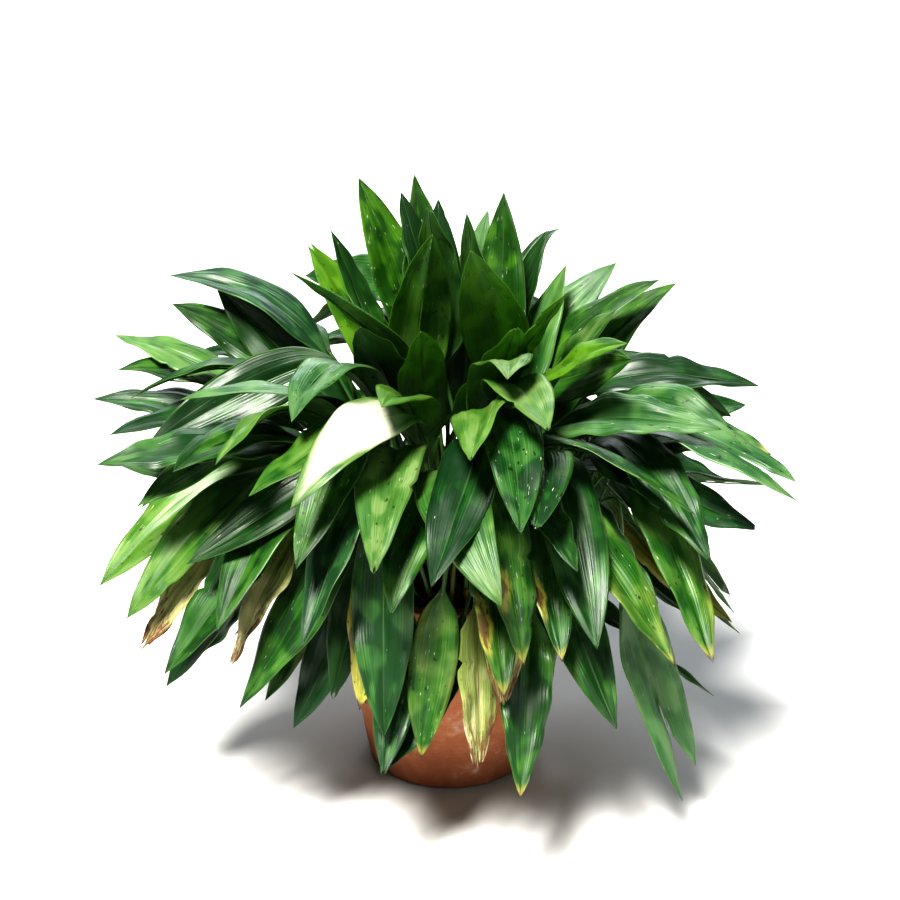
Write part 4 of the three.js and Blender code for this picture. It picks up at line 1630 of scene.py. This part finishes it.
@dataclass
class Sheaths:
    """Short papery sheaths round the feet of the stalks."""

    forms: list[LeafForm]
    finish: SheathFinish = SheathFinish()
    lowest: float = 0.300
    longest: float = 0.075
    radius: float = 0.0046
    flare: float = 0.0006  # how much wider it stands at its end
    slant: float = 0.25  # how much shorter one side is than the middle, as a share
    sides: int = 8
    rows: int = 5
    thickness: float = 0.0005

    def build(self) -> bpy.types.Object:
        """Wraps a sheath round each stalk.

        Returns:
            The piece.
        """
        bm = bmesh.new()
        draw = Random(41)
        for form in self.forms:
            self._wrap(bm, form, draw.uniform(0.35, 1.0) * self.longest, draw.uniform(0.0, math.tau))
        piece = as_piece(bm, "stalk_sheaths", self.finish.material())
        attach(piece, "root")
        return piece

    def _wrap(self, bm: BMesh, form: LeafForm, length: float, turn: float) -> None:
        """Adds one sheath.

        Args:
            bm: The mesh that it goes into.
            form: The leaf whose stalk it wraps.
            length: How far up the stalk it reaches.
            turn: Which side of it is longest.
        """
        grid = bmesh.ops.create_grid(bm, x_segments=self.sides, y_segments=self.rows, size=0.5)
        verts = grid["verts"]
        root = form.course.rings[0].centre
        for vert in verts:
            angle, share = (vert.co.x + 0.5) * math.tau, vert.co.y + 0.5
            reach = length * (1.0 - self.slant + self.slant * math.cos(angle - turn)) * share
            drop = (ROOT_LEVEL - self.lowest) * (1.0 - share)
            centre = form.centre.at(reach) if share > 0.0 else root
            radius = self.radius + self.flare * share * share
            ring = Vector((math.cos(angle), math.sin(angle), 0.0)) * radius
            vert.co = centre - UP * drop + ring
        faces = once(f for v in verts for f in v.link_faces)
        bmesh.ops.remove_doubles(bm, verts=verts, dist=SAME_POINT)
        faces = [f for f in faces if f.is_valid]
        bmesh.ops.recalc_face_normals(bm, faces=faces)
        bmesh.ops.solidify(bm, geom=faces, thickness=self.thickness)


@dataclass
class Pot:
    """The turned clay pot with its rim band and drain holes."""

    finish: TerracottaFinish = TerracottaFinish()
    foot_radius: float = 0.128
    rim_height: float = 0.052
    rim_proud: float = 0.009
    wall: float = 0.012
    floor: float = 0.018
    foot_edge: float = 0.006  # radius of the foot's soft edge
    rim_edge: float = 0.005  # radius of the two soft edges on top of the rim
    band_edge: float = 0.0035  # radius of the soft edge under the rim band
    band_middle: float = 0.025  # how far above the band's lower edge its side has a ring of points
    groove: float = 0.0012  # how far the wall swells into the band's lower corner
    steps: int = 128
    drain_radius: float = 0.009
    drain_circle: float = 0.062
    drain_count: int = 4
    drain_sides: int = 24
    drill_depth: float = 0.05

    def __post_init__(self) -> None:
        """Takes the height and the rim's radius from the CAD."""
        _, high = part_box("pot")
        self.height: float = high.z
        self.rim: float = high.x

    def build(self) -> bpy.types.Object:
        """Turns the pot and drills its drain holes.

        Returns:
            The piece.
        """
        piece = as_piece(turned(self._profile(), self.steps), "clay_pot", self.finish.material())
        self._drill(piece)
        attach(piece, "root")
        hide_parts("pot")
        return piece

    def _outside(self, height: float) -> float:
        """The wall's outer radius at a height, without the rim band."""
        return self.foot_radius + (self.rim - self.rim_proud - self.foot_radius) * height / self.height

    def _inside(self, height: float) -> float:
        """The wall's inner radius at a height."""
        return self._outside(height) - self.wall

    def _profile(self) -> list[tuple[float, float]]:
        """Draws the profile from the middle of the underside, round the rim, to the middle of the floor.

        Returns:
            Radius and height of its points.
        """
        band = self.height - self.rim_height
        brim = self.height - self.rim_edge
        foot = self.foot_radius - self.foot_edge
        points = [(0.0, 0.0), (foot - self.foot_edge, 0.0)]
        points += self._corner((foot, self.foot_edge), self.foot_edge, -90.0, 0.0)
        points += [(self._outside(z), z) for z in (0.03, 0.08, 0.14, 0.2, 0.25, band - 0.006)]
        points += [(self._outside(band) + self.groove, band - 0.0015), (self.rim - 0.004, band + 0.0012)]
        points += self._corner((self.rim - self.band_edge, band + 0.005), self.band_edge, -60.0, 0.0)
        points += [(self.rim, band + self.band_middle)]
        points += self._corner((self.rim - self.rim_edge, brim), self.rim_edge, 0.0, 90.0)
        inner_edge = self._inside(self.height) + self.rim_edge
        points += self._corner((inner_edge, brim), self.rim_edge, 90.0, 180.0)
        points += [(self._inside(z), z) for z in (0.3, 0.2, 0.1, self.floor + 0.012)]
        points += [(self._inside(self.floor) - 0.010, self.floor), (0.0, self.floor)]
        return points

    @staticmethod
    def _corner(
        centre: tuple[float, float], radius: float, start: float, end: float, steps: int = 5
    ) -> list[tuple[float, float]]:
        """Rounds a corner of the profile.

        Args:
            centre: The middle of its arc.
            radius: Its radius.
            start: Its first angle in degrees.
            end: Its last angle in degrees.
            steps: How many straight steps the arc has.

        Returns:
            Radius and height of each point.
        """
        angles = [math.radians(start + (end - start) * i / steps) for i in range(steps + 1)]
        return [(centre[0] + radius * math.cos(a), centre[1] + radius * math.sin(a)) for a in angles]

    def _drill(self, piece: bpy.types.Object) -> None:
        """Cuts the drain holes.

        Args:
            piece: The pot, whose mesh is changed.
        """
        bm = bmesh.new()
        for i in range(self.drain_count):
            angle = math.tau * (i + 0.5) / self.drain_count
            place = Vector((math.cos(angle), math.sin(angle), 0.0)) * self.drain_circle
            bmesh.ops.create_cone(
                bm,
                cap_ends=True,
                segments=self.drain_sides,
                radius1=self.drain_radius,
                radius2=self.drain_radius,
                depth=self.drill_depth,
                matrix=Matrix.Translation(place + UP * self.floor / 2.0),
            )
        mesh = bpy.data.meshes.new("drain_drill")
        bm.to_mesh(mesh)
        bm.free()
        drill = placed("drain_drill", mesh)
        cut = piece.modifiers.new("drain_holes", "BOOLEAN")
        cut.operation = "DIFFERENCE"
        cut.object = drill
        graph = bpy.context.evaluated_depsgraph_get()
        drilled = bpy.data.meshes.new_from_object(piece.evaluated_get(graph))
        piece.modifiers.clear()
        piece.data = drilled
        bpy.data.objects.remove(drill)


@dataclass
class SoilBed:
    """The soil: a low broken dome with crumbs on it."""

    finish: SoilFinish = SoilFinish()
    radius: float = 0.1625
    low_radius: float = 0.107
    low: float = 0.0183
    low_edge: tuple[float, float] = (0.011, 0.012)  # how far out and up its lower edge is cut off
    level: float = 0.300
    dome: float = 0.008
    clod_height: float = 0.0028
    clods_to_metre: float = 70.0
    ring_count: int = 52
    steps: int = 120
    crumb_count: int = 420
    crumb_sizes: tuple[float, float] = (0.0012, 0.0042)
    crumb_proud: float = 0.0006
    crumb_reach: float = 0.96  # how far out crumbs lie, as a share of the bed's radius

    def build(self) -> bpy.types.Object:
        """Turns the bed, roughens it, and scatters crumbs.

        Returns:
            The piece.
        """
        out, up = self.low_edge
        rings = [self.radius * (1.0 - i / self.ring_count) for i in range(self.ring_count + 1)]
        points = [(0.0, self.low), (self.low_radius, self.low), (self.low_radius + out, self.low + up)]
        bm = turned(points + [(r, self.level) for r in rings], self.steps)
        for vert in bm.verts:
            if vert.co.z > self.level - 0.001:
                vert.co.z = self._height(vert.co)
        self._crumbs(bm)
        piece = as_piece(bm, "potting_soil", self.finish.material())
        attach(piece, "root")
        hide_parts("soil")
        return piece

    def _height(self, at: Vector) -> float:
        """Finds the height of the soil's broken top.

        Args:
            at: The place, whose height doesn't count.

        Returns:
            The height there.
        """
        share = min(1.0, math.hypot(at.x, at.y) / self.radius)
        spot = Vector((at.x * self.clods_to_metre, at.y * self.clods_to_metre, 2.0))
        clods = noise.fractal(spot, 0.8, 2.2, 4)
        return self.level + self.dome * (1.0 - share * share) + self.clod_height * clods

    def _crumbs(self, bm: BMesh) -> None:
        """Scatters crumbs on the bed.

        Args:
            bm: The mesh that they go into.
        """
        draw = Random(7)
        for _ in range(self.crumb_count):
            radius = self.radius * self.crumb_reach * math.sqrt(draw.random())
            angle = draw.uniform(0.0, math.tau)
            at = Vector((radius * math.cos(angle), radius * math.sin(angle), 0.0))
            at.z = self._height(at) + self.crumb_proud
            size = draw.uniform(*self.crumb_sizes)
            squash = Matrix.Diagonal((1.0, draw.uniform(0.6, 1.0), draw.uniform(0.5, 0.9), 1.0))
            turn = Matrix.Rotation(draw.uniform(0.0, math.tau), 4, "Z")
            matrix = Matrix.Translation(at) @ turn @ squash
            bmesh.ops.create_icosphere(bm, subdivisions=1, radius=size, matrix=matrix)


@dataclass(frozen=True)
class Lamp:
    """A lamp of the studio."""

    name: str
    place: tuple[float, float, float]  # where a soft box stands, or the direction that the sun shines from
    power: float  # watts of a soft box, or the sun's strength
    colour: Colour
    size: float  # metres that a soft box is wide, or degrees that the sun is


@dataclass
class Studio:
    """The floor, the lights and the camera."""

    elevation: float = 24.0  # degrees above the horizon that the camera looks down from
    distance: float = 3.0
    target: tuple[float, float, float] = (0.0, 0.0, 0.515)
    lens: float = 80.4
    sensor: float = 36.0
    floor_size: float = 200.0
    floor_drop: float = 0.0005
    sun: Lamp = Lamp("key_light", (-0.24, -0.52, 1.0), 7.2, (1.0, 0.975, 0.92), 14.0)
    boxes: tuple[Lamp, ...] = (
        Lamp("fill_light", (2.6, -2.2, 1.5), 12.0, (0.92, 0.96, 1.0), 1.4),
        Lamp("back_light", (0.0, 3.2, 2.4), 95.0, (0.90, 0.96, 1.0), 2.8),
    )
    air: Colour = (0.88, 0.95, 1.0)
    air_strength: float = 0.10
    finish: FloorFinish = FloorFinish()

    def build(self) -> None:
        """Sets up the studio."""
        self._floor()
        self._camera()
        self._sun()
        for lamp in self.boxes:
            self._box(lamp)
        world = bpy.data.worlds.new("studio_air")
        world.use_nodes = True
        air = world.node_tree.nodes["Background"]
        air.inputs["Color"].default_value = (*self.air, 1.0)
        air.inputs["Strength"].default_value = self.air_strength
        scene = bpy.context.scene
        scene.world = world
        scene.view_settings.view_transform = "Standard"
        scene.view_settings.look = "High Contrast"

    def _floor(self) -> None:
        """Lays the floor."""
        bm = bmesh.new()
        bmesh.ops.create_grid(bm, x_segments=1, y_segments=1, size=self.floor_size / 2.0)
        bmesh.ops.translate(bm, vec=UP * (GROUND_LEVEL - self.floor_drop), verts=bm.verts)
        as_piece(bm, "floor", self.finish.material())

    def _camera(self) -> None:
        """Sets the camera at the photograph's viewing angle."""
        data = bpy.data.cameras.new("camera")
        data.lens = self.lens
        data.sensor_width = self.sensor
        camera = placed("camera", data)
        tilt = math.radians(self.elevation)
        back = Vector((0.0, -math.cos(tilt), math.sin(tilt)))
        camera.location = Vector(self.target) + back * self.distance
        self._aim(camera, -back)
        bpy.context.scene.camera = camera

    def _sun(self) -> None:
        """Adds the main light, which is as strong at the back of the floor as at the front."""
        data = bpy.data.lights.new(self.sun.name, "SUN")
        data.energy = self.sun.power
        data.angle = math.radians(self.sun.size)
        data.color = self.sun.colour
        self._aim(placed(self.sun.name, data), -Vector(self.sun.place))

    def _box(self, lamp: Lamp) -> None:
        """Adds a soft box that faces the plant.

        Args:
            lamp: What it is like.
        """
        data = bpy.data.lights.new(lamp.name, "AREA")
        data.size = lamp.size
        data.energy = lamp.power
        data.color = lamp.colour
        made = placed(lamp.name, data)
        made.location = lamp.place
        self._aim(made, Vector(self.target) - Vector(lamp.place))

    @staticmethod
    def _aim(made: bpy.types.Object, direction: Vector) -> None:
        """Turns a camera or a lamp to look in a direction."""
        made.rotation_euler = direction.to_track_quat("-Z", "Y").to_euler()


def main() -> None:
    """Builds the plant in its pot, and the studio round it."""
    logging.basicConfig(level=logging.INFO, format="%(message)s")
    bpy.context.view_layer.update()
    Studio().build()
    foliage = Foliage()
    pieces = foliage.build()
    pieces += [Sheaths(foliage.forms).build(), Pot().build(), SoilBed().build()]
    for piece in pieces:
        log.info("%s: %d faces", piece.name, len(piece.data.polygons))
    bpy.context.view_layer.update()


if __name__ == "__main__":
    main()
